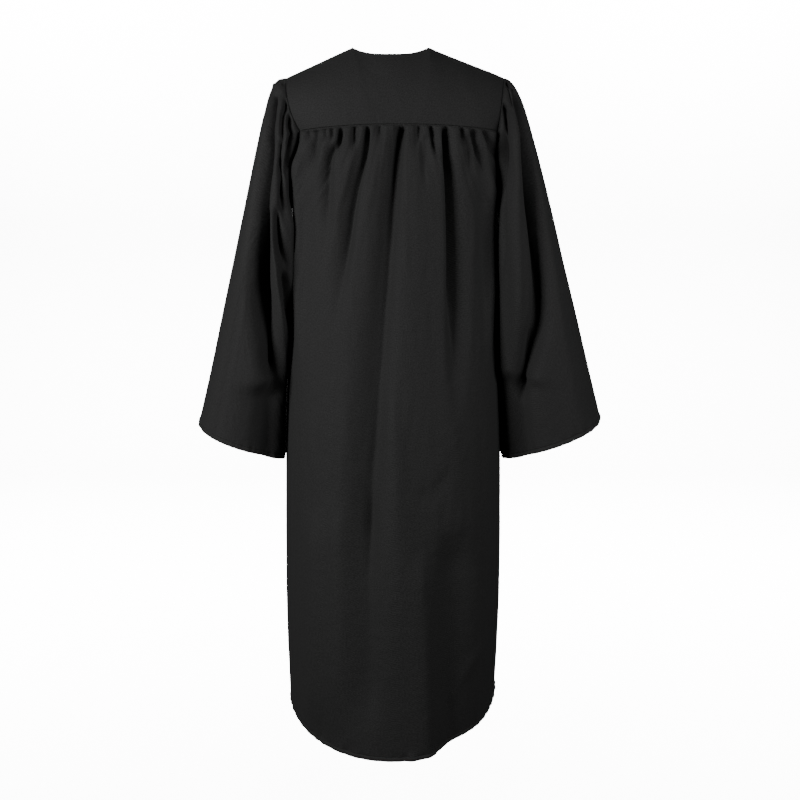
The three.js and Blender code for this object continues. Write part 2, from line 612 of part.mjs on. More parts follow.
// One zip tape, on the inside of a front, made from the front's own points along its edge.
function zipTape(sideName) {
  const side = SIDES[sideName];
  const panel = frontPanelGrid(side, FRONT_FOLDS);
  const points = panel.map((row) => row.map((cell) => cell.point));
  const normals = gridNormals(panel, points, false, -side.sign);
  const first = FRONT_TURNS.indexOf(V_NECK_TURN);
  const last = FRONT_TURNS.length + BODY_DROPS.indexOf(ZIP_END_DROP);
  const outer = [];
  const facing = [];
  for (let i = first; i <= last; i += 1) {
    const edge = points[i][0].clone().addScaledVector(normals[i][0], -WALL - ZIP.tapeGap);
    const next = points[i][1].clone().addScaledVector(normals[i][1], -WALL - ZIP.tapeGap);
    const reach = Math.min(1, (ZIP.tapeOuter - ZIP.half) / Math.abs(next.x - edge.x));
    const middle = edge.clone();
    middle.x = side.sign * ZIP.tapeInner;
    outer.push([middle, edge, edge.clone().lerp(next, reach)]);
    facing.push([normals[i][0], normals[i][0], normals[i][0].clone().lerp(normals[i][1], reach).normalize()]);
  }
  return named(`zip_tape_${sideName}`, facingOut(wallGeometry(outer, facing, ZIP.tapeWall, false)), tapeCloth());
}

// The place of the slider: its middle on the cloth face, leaning with the zip just below the V.
function sliderSeat() {
  const rows = frontPanelGrid(SIDES.left, FRONT_FOLDS);
  const first = FRONT_TURNS.indexOf(V_NECK_TURN);
  const top = rows[first][0].point;
  const low = rows[first + 1][0].point;
  const along = top.clone().sub(low).normalize();
  const seat = new THREE.Group();
  seat.position.copy(top).addScaledVector(along, -SLIDER.belowV).setX(0);
  seat.rotation.x = Math.atan2(-along.y, along.z);
  return seat;
}

function zipSlider() {
  const tapeFace = WALL + ZIP.tapeGap;
  const tapeBack = tapeFace + ZIP.tapeWall;
  const { halfLength, topHalf, lowHalf, topRise, plateGap } = SLIDER;
  const { half, window, post, opening, bar } = BRIDGE;
  const length = [-halfLength, halfLength];
  const face = -topRise;
  const crown = face - opening;
  const joined = [
    boxSolid([-topHalf, topHalf], [face, tapeFace - plateGap], length),
    boxSolid([-lowHalf, lowHalf], [tapeBack + plateGap, tapeBack + plateGap + 1.3], length),
    boxSolid([-0.8, 0.8], [face, tapeBack + plateGap + 0.5], [0.5, halfLength]),
    boxSolid([-half, half], [crown - bar, face + 0.5], [window, window + post]),
    boxSolid([-half, half], [crown - bar, face + 0.5], [-window - post, -window]),
    boxSolid([-half, half], [crown - bar, crown], [-window - post, window + post]),
  ];
  const slider = joined.reduce((whole, next) => whole.add(next));
  return named("zip_slider", geometryOf(slider), blackenedZinc());
}

// The pull tab hangs from a crossbar under the slider's bridge: its axis is the middle of the crossbar.
function pullTab() {
  const outline = new THREE.Shape();
  outline.moveTo(PULL.half, PULL.bar);
  outline.lineTo(-PULL.half, PULL.bar);
  outline.lineTo(-PULL.half, -PULL.window - 1.4);
  outline.lineTo(-PULL.neckHalf, -PULL.window - 4);
  outline.lineTo(-PULL.endHalf, -PULL.length + PULL.endHalf);
  outline.absarc(0, -PULL.length + PULL.endHalf, PULL.endHalf, Math.PI, 2 * Math.PI, false);
  outline.lineTo(PULL.neckHalf, -PULL.window - 4);
  outline.lineTo(PULL.half, -PULL.window - 1.4);
  outline.closePath();
  const inner = PULL.half - PULL.arm;
  const window = new THREE.Path();
  window.moveTo(-inner, -PULL.bar);
  window.lineTo(inner, -PULL.bar);
  window.lineTo(inner, -PULL.window);
  window.lineTo(-inner, -PULL.window);
  window.closePath();
  outline.holes.push(window);
  const plate = new THREE.ExtrudeGeometry(outline, { depth: PULL.thick, bevelEnabled: false, curveSegments: 10 });
  plate.rotateX(Math.PI / 2);
  const centred = plate.translate(0, PULL.thick / 2, 0);
  const tab = named("pull_tab", geometryOf(solidOf(centred)), blackenedZinc());
  tab.position.y = -SLIDER.topRise - BRIDGE.opening / 2;
  return tab;
}

const robe = new THREE.Group();
const seat = sliderSeat();
seat.add(zipSlider(), pullTab());
robe.add(
  backYoke(),
  frontYoke("left"),
  frontYoke("right"),
  backPanel(),
  frontPanel("left"),
  frontPanel("right"),
  ...sleeve("left"),
  ...sleeve("right"),
  zipTape("left"),
  zipTape("right"),
  seat,
);

export default robe;
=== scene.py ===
"""Choir robe, worn form with no wearer: cloth shells, hems, stitches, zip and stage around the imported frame.

Lengths in the tables are millimetres in the robe's own frame: +Z up, the front faces -Y, +X is the
wearer's left, and the origin lies midway between the neck points. Meshes are made in metres.
"""

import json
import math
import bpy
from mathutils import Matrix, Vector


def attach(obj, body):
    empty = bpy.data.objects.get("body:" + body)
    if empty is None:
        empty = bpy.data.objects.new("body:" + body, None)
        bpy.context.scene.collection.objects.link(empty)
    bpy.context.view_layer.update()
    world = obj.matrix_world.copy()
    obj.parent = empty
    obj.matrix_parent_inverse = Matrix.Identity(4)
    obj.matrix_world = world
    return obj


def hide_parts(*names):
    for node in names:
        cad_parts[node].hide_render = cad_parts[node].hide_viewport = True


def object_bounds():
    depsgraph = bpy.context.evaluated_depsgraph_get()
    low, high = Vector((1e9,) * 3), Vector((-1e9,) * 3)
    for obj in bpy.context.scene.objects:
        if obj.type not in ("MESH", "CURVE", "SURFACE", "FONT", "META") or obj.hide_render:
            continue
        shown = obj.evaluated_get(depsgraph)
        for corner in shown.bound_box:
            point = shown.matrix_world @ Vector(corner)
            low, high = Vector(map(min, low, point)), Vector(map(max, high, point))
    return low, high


bl_info = {
    "name": "Choir Robe",
    "version": (1, 0, 0),
    "blender": (4, 5, 0),
    "location": "View3D > Sidebar > Choir Robe",
    "description": "Builds a full-length gathered choir robe with bell sleeves and a front zip",
    "category": "Add Mesh",
}

from functools import partial

import bmesh
import bpy
import numpy as np
from bpy.props import FloatProperty, FloatVectorProperty, PointerProperty

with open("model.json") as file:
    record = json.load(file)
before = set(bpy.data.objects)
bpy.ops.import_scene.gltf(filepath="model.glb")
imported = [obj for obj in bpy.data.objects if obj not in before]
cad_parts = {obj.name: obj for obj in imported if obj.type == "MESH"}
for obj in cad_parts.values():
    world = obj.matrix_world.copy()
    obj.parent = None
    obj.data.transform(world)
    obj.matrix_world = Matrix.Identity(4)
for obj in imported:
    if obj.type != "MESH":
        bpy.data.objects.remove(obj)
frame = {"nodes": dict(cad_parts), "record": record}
CAD_LOW, CAD_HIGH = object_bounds()
BODIES = frame["record"]["behaviour"]["bodies"]
ROBE_BODY = next(name for name, nodes in BODIES.items() if "back_panel" in nodes)

MM = 0.001
QUARTER = math.pi / 2

# ---- Cut of the neck, shoulders, seams and hem ----
NECK = {"half": 71, "shift": 8, "back_depth": 62, "back_drop": 17}
SHOULDER = {"half": 200, "drop": 53, "shift": -1}
BACK_SEAM = {"z_middle": -141, "z_end": -151}
FRONT_SEAM = {"half": 178, "z_middle": -118, "z_end": -128}
UNDERARM_Z = -290
V_NECK_Z = -166
HEM_Z = {"left": -1283, "right": -1268, "back": -1311, "front": -1300}
ZIP = {"half": 4.5, "end_z": -950, "seam_half": 0.2, "calm": 16, "behind": 2.35, "tape_edge": 1.2,
       "tape_side": 15}
SLIDER = {"top_z": -169.5, "end_z": -181}
COIL = {"pitch": 1.6, "width": 2.8, "wire": 1.1, "middle": 1.1, "stagger": 0.4, "open": (2.3, 1.7),
        "behind": ZIP["behind"] - 0.3}
HEM = {"height": 9.5, "stitch_up": 8.5, "doubled": 1.4, "groove": 2.2, "edge": 0.8, "pucker": 0.3}
# The share of the back yoke's half width under the neckline, and how late its sides swing out.
NECK_SHARE = 0.42
YOKE_BEND = {"left": 3.6, "right": 1.5}

# ---- Sleeves: how square the tube is, the shares of its length that make its head and ease out of   ----
# ---- the armhole, how far it hangs clear of the body, how softly it touches and nestles against it, ----
# ---- and its length to the cuff: the middle, and what the outer side adds and the inner side loses. ----
SLEEVE_SQUARE = 2.6
SLEEVE_HEAD = 0.03
ARMHOLE_REACH = 0.3
SLEEVE_CLEARANCE = 4
SLEEVE_TOUCH = 6
NESTLE = 7
SLEEVE_LENGTH = {"middle": 630, "swing": 95}

# ---- Grids: the panels' lengths below the underarm with their steps, and the steps round an armhole ----
BACK_PANEL = {"length": 1005, "steps": 88, "columns": 281}
FRONT_PANEL = {"length": 1000, "steps": 80}
ARMHOLE_STEPS = {"yoke": 46, "panel": 90}

# ---- Turned edges inside the cloth, in rows across the edge: distance up from the seam or hem (on the ----
# ---- armhole, towards the sleeve), and depth inward from the outer face.                             ----
SEAM_EDGE = ((8, 2.6), (4, 2.4), (1, 2.3), (-1.5, 2.6), (-4, 3.6))
ARMHOLE_EDGE = ((-7, 3.2), (-3.5, 2.6), (0, 2.3), (3, 3.0))
HEM_EDGE = ((9.2, 1.0), (7.5, 1.35), (5, 1.4), (2.5, 1.4), (0.9, 1.2), (0.3, 0.9))

# ---- Unevenness of the cloth: lift, wave length, and how many times longer it runs down than across ----
RIPPLES = {
    "yoke": (0.5, 90, 1.0),
    "panel": (0.9, 60, 4.0),
    "sleeve": (0.8, 60, 4.0),
    "crumple": (0.25, 17, 2.2),
    "streak": (0.5, 15, 9.0),
}

# ---- Body sections: height, half width, depth behind and in front, sideways shift, squareness ----
BODY_COLUMNS = ("z", "half", "back", "front", "shift", "square")
BODY_SECTIONS = (
    (-100, 205, 100, 97, -4, 2.5),
    (-150, 203, 108, 105, -5, 2.5),
    (-210, 196, 124, 118, -1, 2.45),
    (-290, 190, 133, 127, 2, 2.4),
    (-400, 192, 143, 137, 4, 2.35),
    (-550, 202, 158, 152, 4, 2.3),
    (-700, 210, 176, 168, 4, 2.25),
    (-900, 215, 200, 190, 4, 2.2),
    (-1100, 217, 222, 208, 5, 2.15),
    (-1320, 211, 241, 222, 6, 2.1),
)

# ---- Sleeve lines: share of the sleeve's length, outer line, inner line, half depth, forward hang ----
SLEEVE_COLUMNS = ("t", "outer_x", "outer_z", "inner_x", "inner_z", "deep", "forward")
SLEEVE_LINES = (
    (0.0, 200, -53, 191, -290, 72, 0),
    (0.03, 213, -57, 196, -293, 84, 0),
    (0.08, 225, -72, 199, -303, 95, 1),
    (0.14, 235, -98, 198, -324, 103, 2),
    (0.24, 251, -162, 194, -372, 111, 5),
    (0.38, 275, -259, 193, -444, 118, 9),
    (0.54, 302, -370, 194, -530, 124, 13),
    (0.7, 330, -482, 197, -614, 128, 16),
    (0.85, 357, -590, 201, -695, 131, 18),
    (1.0, 385, -695, 206, -775, 133, 20),
)
SIDES = {
    "left": {"sign": 1, "seam_end": 172, "spread": (3, 2, 2), "cuff_drop": 8},
    "right": {"sign": -1, "seam_end": 187, "spread": (-4, 14, 20), "cuff_drop": 0},
}

# ---- Folds. Each row is one trough (lift below 0) or ridge (above 0), along a smooth curve through ----
# ---- four places. Then its width at the top and at the end, its lift, its lean, and the share of   ----
# ---- its length where it starts to fade. Lean above 0 slides a trough under the ridge on the       ----
# ---- wearer's right of it, below 0 under the ridge on the left.                                    ----
# ---- Body folds: places are x, z, from the yoke seam downward. ----
BACK_FOLDS = (
    ((156, -150), (155, -157), (155, -166), (154, -178), 5, 7, -9, 0, 0.3),
    ((142, -150), (143, -176), (147, -208), (152, -262), 8, 15, -11, 0.2, 0.4),
    ((126, -149), (126, -157), (126, -166), (125, -178), 4.5, 7, -9, 0.3, 0.3),
    ((114, -148), (114, -158), (114, -168), (113, -184), 5, 7, -11, 0.3, 0.3),
    ((96, -147), (108, -180), (122, -228), (112, -480), 4, 15, -17, 0.2, 0.55),
    ((68, -145), (69, -162), (70, -180), (73, -206), 5.5, 9, -12, -0.3, 0.35),
    ((50, -144), (62, -210), (86, -310), (112, -540), 4, 18, -19, 0.4, 0.7),
    ((25, -142), (26, -152), (26, -164), (27, -180), 5, 7, -8, 0, 0.3),
    ((-14, -141), (4, -230), (28, -500), (72, -1020), 5, 30, -22, 0.3, 0.85),
    ((-41, -142), (-40, -158), (-38, -176), (-35, -204), 5, 9, -10, 0.3, 0.35),
    ((-54, -158), (-55, -185), (-56, -230), (-60, -300), 9, 14, -7, 0, 0.4),
    ((-66, -143), (-69, -160), (-73, -180), (-78, -210), 5, 7, -13, -0.4, 0.55),
    ((-94, -144), (-106, -250), (-116, -400), (-108, -720), 5.5, 20, -29, -0.5, 0.65),
    ((-121, -146), (-122, -157), (-123, -168), (-124, -188), 5, 7, -12, -0.3, 0.45),
    ((-131, -155), (-131, -185), (-132, -220), (-133, -264), 8, 12, -8, 0, 0.4),
    ((-141, -148), (-151, -180), (-156, -206), (-160, -240), 7, 10, -16, -0.4, 0.4),
    ((-162, -149), (-169, -166), (-176, -184), (-183, -210), 6, 8, -13, -0.4, 0.5),
    ((172, -190), (177, -320), (179, -460), (180, -660), 17, 17, 13, 0.4, 0.6),
    ((-170, -190), (-174, -320), (-176, -460), (-178, -660), 17, 17, 15, -0.4, 0.6),
    ((60, -760), (62, -940), (60, -1110), (58, -1300), 22, 34, -15, 0.6, 0.75),
    ((102, -800), (104, -960), (106, -1120), (108, -1290), 26, 34, 7, 0, 0.7),
    ((-40, -900), (-48, -1030), (-54, -1160), (-58, -1305), 24, 34, 9, 0.4, 1),
    ((-112, -860), (-112, -1010), (-112, -1150), (-114, -1300), 36, 52, -17, 0, 1),
    ((-176, -1120), (-150, -1150), (-126, -1190), (-108, -1250), 10, 12, 3, 0, 0.5),
    ((150, -820), (156, -980), (158, -1140), (160, -1300), 28, 38, 8, 0, 0.8),
    ((6, -600), (-2, -760), (-8, -940), (-14, -1200), 20, 32, 8, 0, 0.6),
    ((-40, -817), (-62, -802), (-88, -780), (-106, -744), 6, 5, -4, 0.5, 0.6),
    ((-54, -830), (-70, -815), (-92, -792), (-108, -760), 5, 5, -3, 0.5, 0.6),
)
FRONT_FOLDS = (
    ((34, -119), (34, -130), (35, -140), (36, -152), 3, 5, -5, 0, 0.3),
    ((62, -120), (66, -200), (74, -290), (84, -440), 5, 15, -13, 0.3, 0.4),
    ((80, -121), (81, -134), (82, -146), (84, -162), 3, 5, -6, 0, 0.3),
    ((98, -122), (102, -330), (102, -580), (96, -900), 5, 25, -15, -0.4, 0.4),
    ((118, -123), (119, -138), (120, -154), (123, -172), 3, 5, -6, 0, 0.3),
    ((136, -124), (140, -180), (145, -250), (150, -340), 5, 12, -11, 0.3, 0.4),
    ((158, -126), (158, -138), (158, -152), (158, -168), 3, 5, -6, 0, 0.3),
    ((60, -700), (64, -880), (68, -1080), (72, -1290), 28, 36, 9, 0, 0.8),
    ((124, -740), (128, -900), (132, -1080), (134, -1290), 28, 38, -11, 0, 0.8),
    ((-32, -119), (-32, -130), (-33, -142), (-34, -156), 3, 5, -5, 0, 0.3),
    ((-56, -120), (-62, -190), (-68, -270), (-72, -380), 5, 14, -12, -0.3, 0.4),
    ((-74, -121), (-75, -136), (-77, -150), (-79, -166), 3, 5, -6, 0, 0.3),
    ((-88, -122), (-95, -320), (-101, -560), (-104, -830), 5.5, 23, -16, 0.5, 0.4),
    ((-108, -123), (-109, -136), (-110, -148), (-111, -162), 3, 5, -6, 0, 0.3),
    ((-126, -124), (-132, -178), (-140, -240), (-146, -310), 5, 12, -11, -0.3, 0.4),
    ((-152, -126), (-153, -140), (-155, -156), (-157, -172), 3, 5, -6, 0, 0.3),
    ((-64, -740), (-70, -900), (-78, -1080), (-84, -1290), 28, 36, 10, 0, 0.8),
    ((-130, -820), (-134, -960), (-139, -1120), (-142, -1290), 28, 38, -10, 0, 0.8),
)
# How square a fold's sides are, how many of its widths it moves on each side, and the points on its line.
FOLD_SHARPNESS = 1.8
FOLD_REACH = 3.2
FOLD_POINTS = 49
# The gathers: the distance over which they rise from the seam, and how far they puff out below it.
GATHER_RISE = 6
GATHER_PUFF = 5
# A sewn side edge holds this much of the cloth beside it flat.
HELD_WIDTH = 14

# ---- Sleeve folds: places are the share of the sleeve's length and the turn round it in degrees ----
# ---- (0 outer side, 90 back, 180 inner side, 270 front).                                        ----
SLEEVE_FOLDS = {
    "left": (
        ((0.03, 22), (0.13, 50), (0.25, 70), (0.42, 85), 9, 13, -44, 0.1, 0.7),
        ((0.13, 50), (0.36, 77), (0.57, 95), (0.79, 146), 13, 22, -56, 0.2, 0.8),
        ((0.05, 32), (0.24, 83), (0.44, 111), (0.68, 146), 6, 9, 11, -0.5, 0.75),
        ((0.1, 12), (0.06, 32), (0.035, 34), (0.012, 35), 4, 3, -5, 0.4, 0.7),
        ((0.07, 4), (0.045, 16), (0.025, 20), (0.008, 22), 6, 6, 4, 0, 0.8),
        ((0.1, 74), (0.14, 86), (0.18, 102), (0.24, 126), 6, 9, -18, 0.3, 0.6),
        ((0.005, 44), (0.03, 60), (0.08, 74), (0.13, 88), 4, 4, -10, 0.3, 0.6),
        ((0.005, 60), (0.04, 84), (0.07, 102), (0.12, 116), 4, 6, -12, 0.3, 0.6),
        ((0.25, 92), (0.29, 104), (0.33, 118), (0.36, 136), 7, 9, -16, 0.4, 0.5),
        ((0.36, 116), (0.43, 126), (0.5, 136), (0.57, 146), 7, 8, -14, 0.4, 0.5),
        ((0.12, 128), (0.28, 134), (0.45, 138), (0.62, 146), 10, 12, 10, 0, 0.6),
        ((0.74, 112), (0.83, 118), (0.92, 121), (1.0, 122), 42, 44, -26, 0, 1),
        ((0.0, 300), (0.18, 299), (0.36, 298), (0.55, 296), 8, 15, -15, 0.4, 0.4),
        ((0.0, 256), (0.28, 257), (0.55, 260), (0.82, 262), 9, 18, -16, -0.4, 0.5),
        ((0.0, 16), (0.06, 18), (0.12, 20), (0.2, 22), 6, 9, -5, 0, 0.4),
        ((0.0, 338), (0.04, 338), (0.08, 337), (0.14, 336), 5, 7, -5, 0, 0.4),
    ),
    "right": (
        ((0.05, 20), (0.15, 42), (0.27, 60), (0.42, 71), 9, 12, -34, -0.1, 0.7),
        ((0.14, 42), (0.37, 68), (0.6, 84), (0.8, 132), 14, 18, -36, -0.1, 0.88),
        ((0.16, 52), (0.36, 76), (0.56, 86), (0.76, 122), 5, 6, -7, -0.4, 0.7),
        ((0.05, 26), (0.2, 88), (0.42, 101), (0.68, 128), 9, 12, 9, 0.5, 0.75),
        ((0.01, 13), (0.035, 21), (0.07, 28), (0.12, 34), 3, 4.5, -8, 0, 0.6),
        ((0.006, 18), (0.03, 30), (0.05, 42), (0.075, 56), 3, 4, -7, 0.3, 0.6),
        ((0.02, 24), (0.06, 33), (0.1, 52), (0.16, 74), 6, 8, 6, 0, 0.5),
        ((0.01, 48), (0.04, 68), (0.08, 100), (0.12, 130), 4, 6, -11, -0.3, 0.6),
        ((0.02, 62), (0.07, 110), (0.2, 128), (0.45, 140), 6, 9, -16, 0.2, 0.6),
        ((0.72, 116), (0.8, 122), (0.9, 124), (1.0, 125), 40, 44, -24, 0, 1),
        ((0.0, 298), (0.18, 297), (0.36, 298), (0.58, 301), 8, 15, -15, -0.4, 0.4),
        ((0.0, 258), (0.25, 256), (0.5, 254), (0.75, 252), 9, 18, -15, 0.4, 0.5),
        ((0.0, 342), (0.06, 340), (0.14, 338), (0.24, 336), 6, 9, -6, 0, 0.4),
        ((0.0, 12), (0.04, 12), (0.08, 13), (0.13, 14), 5, 7, -4, 0, 0.4),
    ),
}


# ---------------- small maths ----------------

def mix(a, b, k):
    return a + (b - a) * k


def smooth(k):
    k = np.clip(k, 0, 1)
    return k * k * (3 - 2 * k)


def fade(distance, start, length):
    """1 up to start, falling smoothly to 0 over length."""
    return 1 - smooth((distance - start) / length)


def through(first, middle, last, k):
    """A value on the parabola through three values at k = 0, 1/2 and 1."""
    return first * (1 - k) * (1 - 2 * k) + middle * 4 * k * (1 - k) + last * k * (2 * k - 1)


def look_up(table, columns, column, at):
    """One column of a table at places between its rows, on a smooth curve through them."""
    places = np.array([row[0] for row in table], float)
    values = np.array([row[columns.index(column)] for row in table], float)
    if places[0] > places[-1]:
        places, values = places[::-1], values[::-1]
    slopes = np.empty_like(values)
    slopes[1:-1] = (values[2:] - values[:-2]) / (places[2:] - places[:-2])
    slopes[0] = (values[1] - values[0]) / (places[1] - places[0])
    slopes[-1] = (values[-1] - values[-2]) / (places[-1] - places[-2])
    row = np.clip(np.searchsorted(places, at) - 1, 0, len(places) - 2)
    span = places[row + 1] - places[row]
    k = np.clip((at - places[row]) / span, 0, 1)
    rise = (k**3 - 2 * k**2 + k) * slopes[row] + (k**3 - k**2) * slopes[row + 1]
    return mix(values[row], values[row + 1], k * k * (3 - 2 * k)) + rise * span


def unit(vectors):
    length = np.linalg.norm(vectors, axis=-1, keepdims=True)
    return vectors / np.maximum(length, 1e-9)


def run_along(path):
    """Distance in mm from the start of a path to each of its points."""
    steps = np.linalg.norm(np.diff(path, axis=0), axis=-1)
    return np.concatenate([[0], np.cumsum(steps)])


def points_at(at, places, points, period=None):
    """Points at the given places along a row of points, straight between them."""
    return np.stack([np.interp(at, places, points[:, axis], period=period) for axis in range(3)], -1)


def soft_noise(kind, across, along, seed, count=28):
    """Gentle unevenness in mm: a sum of sines of random directions, longer along than across."""
    lift, wave, stretch = RIPPLES[kind]
    draw = np.random.default_rng(seed)
    total = np.zeros_like(across)
    for _ in range(count):
        length = wave * draw.uniform(0.6, 2.2)
        heading = draw.normal(0, 0.5)
        phase = draw.uniform(0, 2 * math.pi)
        place = across * math.cos(heading) + along * math.sin(heading) / stretch
        total += np.sin(2 * math.pi * place / length + phase)
    return lift * (total / math.sqrt(count / 2) / 1.6)


def spaced(stops):
    """Shares from 0 to 1 whose steps change: stops are (share, number of steps up to it)."""
    shares = [np.array([0.0])]
    low = 0.0
    for share, steps in stops:
        shares.append(np.linspace(low, share, steps + 1)[1:])
        low = share
    return np.concatenate(shares)


# ---------------- body surface ----------------
# Angle 0 is the centre back, 90 degrees the wearer's left side, 180 the centre front.

def body_section(z, front):
    """Half width, depth, sideways shift and squareness at heights z, in front or behind."""
    half, behind, before, shift, square = (look_up(BODY_SECTIONS, BODY_COLUMNS, column, z)
                                           for column in BODY_COLUMNS[1:])
    return half, np.where(front, before, behind), shift, square


def section_radius(half, deep, square, angle):
    across = np.abs(np.sin(angle) / half) ** square
    along = np.abs(np.cos(angle) / deep) ** square
    return (across + along) ** (-1 / square)


def angle_at(x, z, front):
    half, deep, shift, square = body_section(z, front)
    share = np.clip(np.abs(x - shift) / half, 0, 1)
    y = deep * (1 - share**square) ** (1 / square)
    return np.arctan2(x - shift, np.where(front, -y, y))


def body_points(angle, z):
    front = np.cos(angle) < 0
    half, deep, shift, square = body_section(z, front)
    radius = section_radius(half, deep, square, angle)
    return np.stack([shift + radius * np.sin(angle), radius * np.cos(angle), z], -1)


def body_places(front):
    """Turns a body fold's places, x and z, to points on the back or front of the body."""
    def locate(x, z):
        return body_points(angle_at(x, z, front), z)
    return locate


# ---------------- seam lines ----------------

def back_seam_z(share):
    return mix(BACK_SEAM["z_middle"], BACK_SEAM["z_end"], np.abs(share) ** 3)


def front_seam_z(share):
    return mix(FRONT_SEAM["z_middle"], FRONT_SEAM["z_end"], share**2)


def hem_z(angle):
    middle = np.where(np.cos(angle) > 0, HEM_Z["back"], HEM_Z["front"])
    side = np.where(np.sin(angle) > 0, HEM_Z["left"], HEM_Z["right"])
    return mix(side, middle, np.cos(angle) ** 2)


def back_end_angle(share):
    """Where the back yoke's seam ends, on the side of the back that each share is on."""
    left, right = (abs(float(angle_at(side["sign"] * side["seam_end"], BACK_SEAM["z_end"], False)))
                   for side in SIDES.values())
    return np.where(share < 0, right, left)


def front_end_angle(side):
    return abs(float(angle_at(side["sign"] * FRONT_SEAM["half"], FRONT_SEAM["z_end"], True)))


def front_edge_x(side, z):
    """The front edge: down the V neck, along the zip and then closed in the centre seam."""
    opening = np.clip(1 - z / V_NECK_Z, 0, 1)
    above = side["sign"] * mix(ZIP["half"], NECK["half"], opening) + NECK["shift"] * opening
    below = side["sign"] * mix(ZIP["half"], ZIP["seam_half"], smooth((ZIP["end_z"] - z) / 8))
    return np.where(z > V_NECK_Z, above, below)


def shoulder_points(side, share):
    neck_x = side["sign"] * NECK["half"] + NECK["shift"]
    tip_x = side["sign"] * SHOULDER["half"] + SHOULDER["shift"]
    return mix(neck_x, tip_x, share), -SHOULDER["drop"] * share


def near_front(side, angle):
    """An angle near the centre front, given as it is reached round this side."""
    return np.where(angle * side["sign"] < 0, angle + side["sign"] * 2 * math.pi, angle)


# ---------------- cloth surfaces ----------------

def back_yoke_points(share, down):
    """The back yoke, rolled over the shoulders: share -1 to 1 across it, down 0 to 1."""
    side_sign = np.where(share < 0, -1, 1)
    turn = np.clip(np.abs(share) / NECK_SHARE, 0, 1) * QUARTER
    in_neck = np.abs(share) < NECK_SHARE
    along = (np.abs(share) - NECK_SHARE) / (1 - NECK_SHARE)
    neck_x = NECK["shift"] + side_sign * NECK["half"] * np.sin(turn)
    neck_z = -NECK["back_drop"] * (1 - np.sin(turn) ** 3)
    tip_x = side_sign * SHOULDER["half"] + SHOULDER["shift"]
    line_x = mix(side_sign * NECK["half"] + NECK["shift"], tip_x, along)
    top_x = np.where(in_neck, neck_x, line_x)
    top_y = np.where(in_neck, NECK["back_depth"] * np.cos(turn), 0)
    top_z = np.where(in_neck, neck_z, -SHOULDER["drop"] * along)
    seam_z = back_seam_z(share)
    bottom = body_points(share * back_end_angle(share), seam_z)
    start = np.arcsin(np.clip(top_y / bottom[..., 1], 0, 1))
    roll = mix(start, QUARTER, down)
    fall = np.cos(roll) / np.cos(start)
    bend = np.where(share < 0, YOKE_BEND["right"], YOKE_BEND["left"])
    sideways = down ** (1 + (bend - 1) * share**4)
    return np.stack([mix(top_x, bottom[..., 0], sideways), bottom[..., 1] * np.sin(roll),
                     mix(bottom[..., 2], top_z, fall)], -1)


def front_yoke_points(side, share, down):
    """One front yoke: share 0 at the neck to 1 at the armhole, down 0 to 1."""
    top_x, top_z = shoulder_points(side, share)
    seam_z = front_seam_z(share)
    inner = near_front(side, angle_at(front_edge_x(side, seam_z), seam_z, True))
    bottom = body_points(mix(inner, side["sign"] * front_end_angle(side), share), seam_z)
    fall = 1 - np.cos(down * QUARTER)
    sideways = mix(fall, down**2.2, share)
    return np.stack([mix(top_x, bottom[..., 0], sideways), bottom[..., 1] * np.sin(down * QUARTER),
                     mix(top_z, bottom[..., 2], fall)], -1)


def row_z(turn, drop, seam_z, angle, share):
    """Heights on a panel: turn 0 to a quarter runs from the yoke seam to the underarm, then drop 0 to 1."""
    fall = mix(turn / QUARTER, np.sin(turn), share**4)
    return mix(mix(seam_z, UNDERARM_Z, fall), hem_z(angle), drop)


def back_panel_points(share, turn, drop):
    """The back panel at shares across it, turns down to the underarm and drops on to the hem."""
    angle = share * mix(back_end_angle(share), QUARTER, 1 - np.cos(turn))
    return body_points(angle, row_z(turn, drop, back_seam_z(share), angle, share))


def front_panel_points(side, share, turn, drop):
    """One front panel, from its centre edge to its side, laid out as the back panel is."""
    reach = mix(front_end_angle(side), QUARTER, 1 - np.cos(turn))
    centre_z = row_z(turn, drop, FRONT_SEAM["z_middle"], np.full_like(turn, math.pi), 0 * share)
    inner = near_front(side, angle_at(front_edge_x(side, centre_z), centre_z, True))
    angle = mix(inner, side["sign"] * reach, share)
    return body_points(angle, row_z(turn, drop, front_seam_z(share), angle, share))


def armhole_loop(side):
    """The armhole from the shoulder tip down the back to the underarm, then up the front."""
    yoke = np.linspace(0, 1, ARMHOLE_STEPS["yoke"] + 1)
    panel = np.linspace(0, QUARTER, ARMHOLE_STEPS["panel"] + 1)
    edge = np.full_like(yoke, side["sign"], dtype=float)
    low = np.full_like(panel, side["sign"], dtype=float)
    zero = np.zeros_like(panel)
    back = back_yoke_points(edge, yoke)
    back_low = back_panel_points(low, panel, zero)[1:]
    front = front_yoke_points(side, np.ones_like(yoke), yoke)
    front_low = front_panel_points(side, np.ones_like(panel), panel, zero)[1:-1]
    loop = np.concatenate([back, back_low, front_low[::-1], front[1:][::-1]])
    return loop, len(back) + len(back_low) - 1


def loop_turns(loop, underarm):
    """The turn round the sleeve at each point of the armhole: 0 at the shoulder, pi at the underarm."""
    run = run_along(np.concatenate([loop, loop[:1]]))
    whole = run[-1]
    run = run[:-1]
    lower = run[underarm]
    return np.where(run <= lower, math.pi * run / lower, math.pi * (1 + (run - lower) / (whole - lower)))


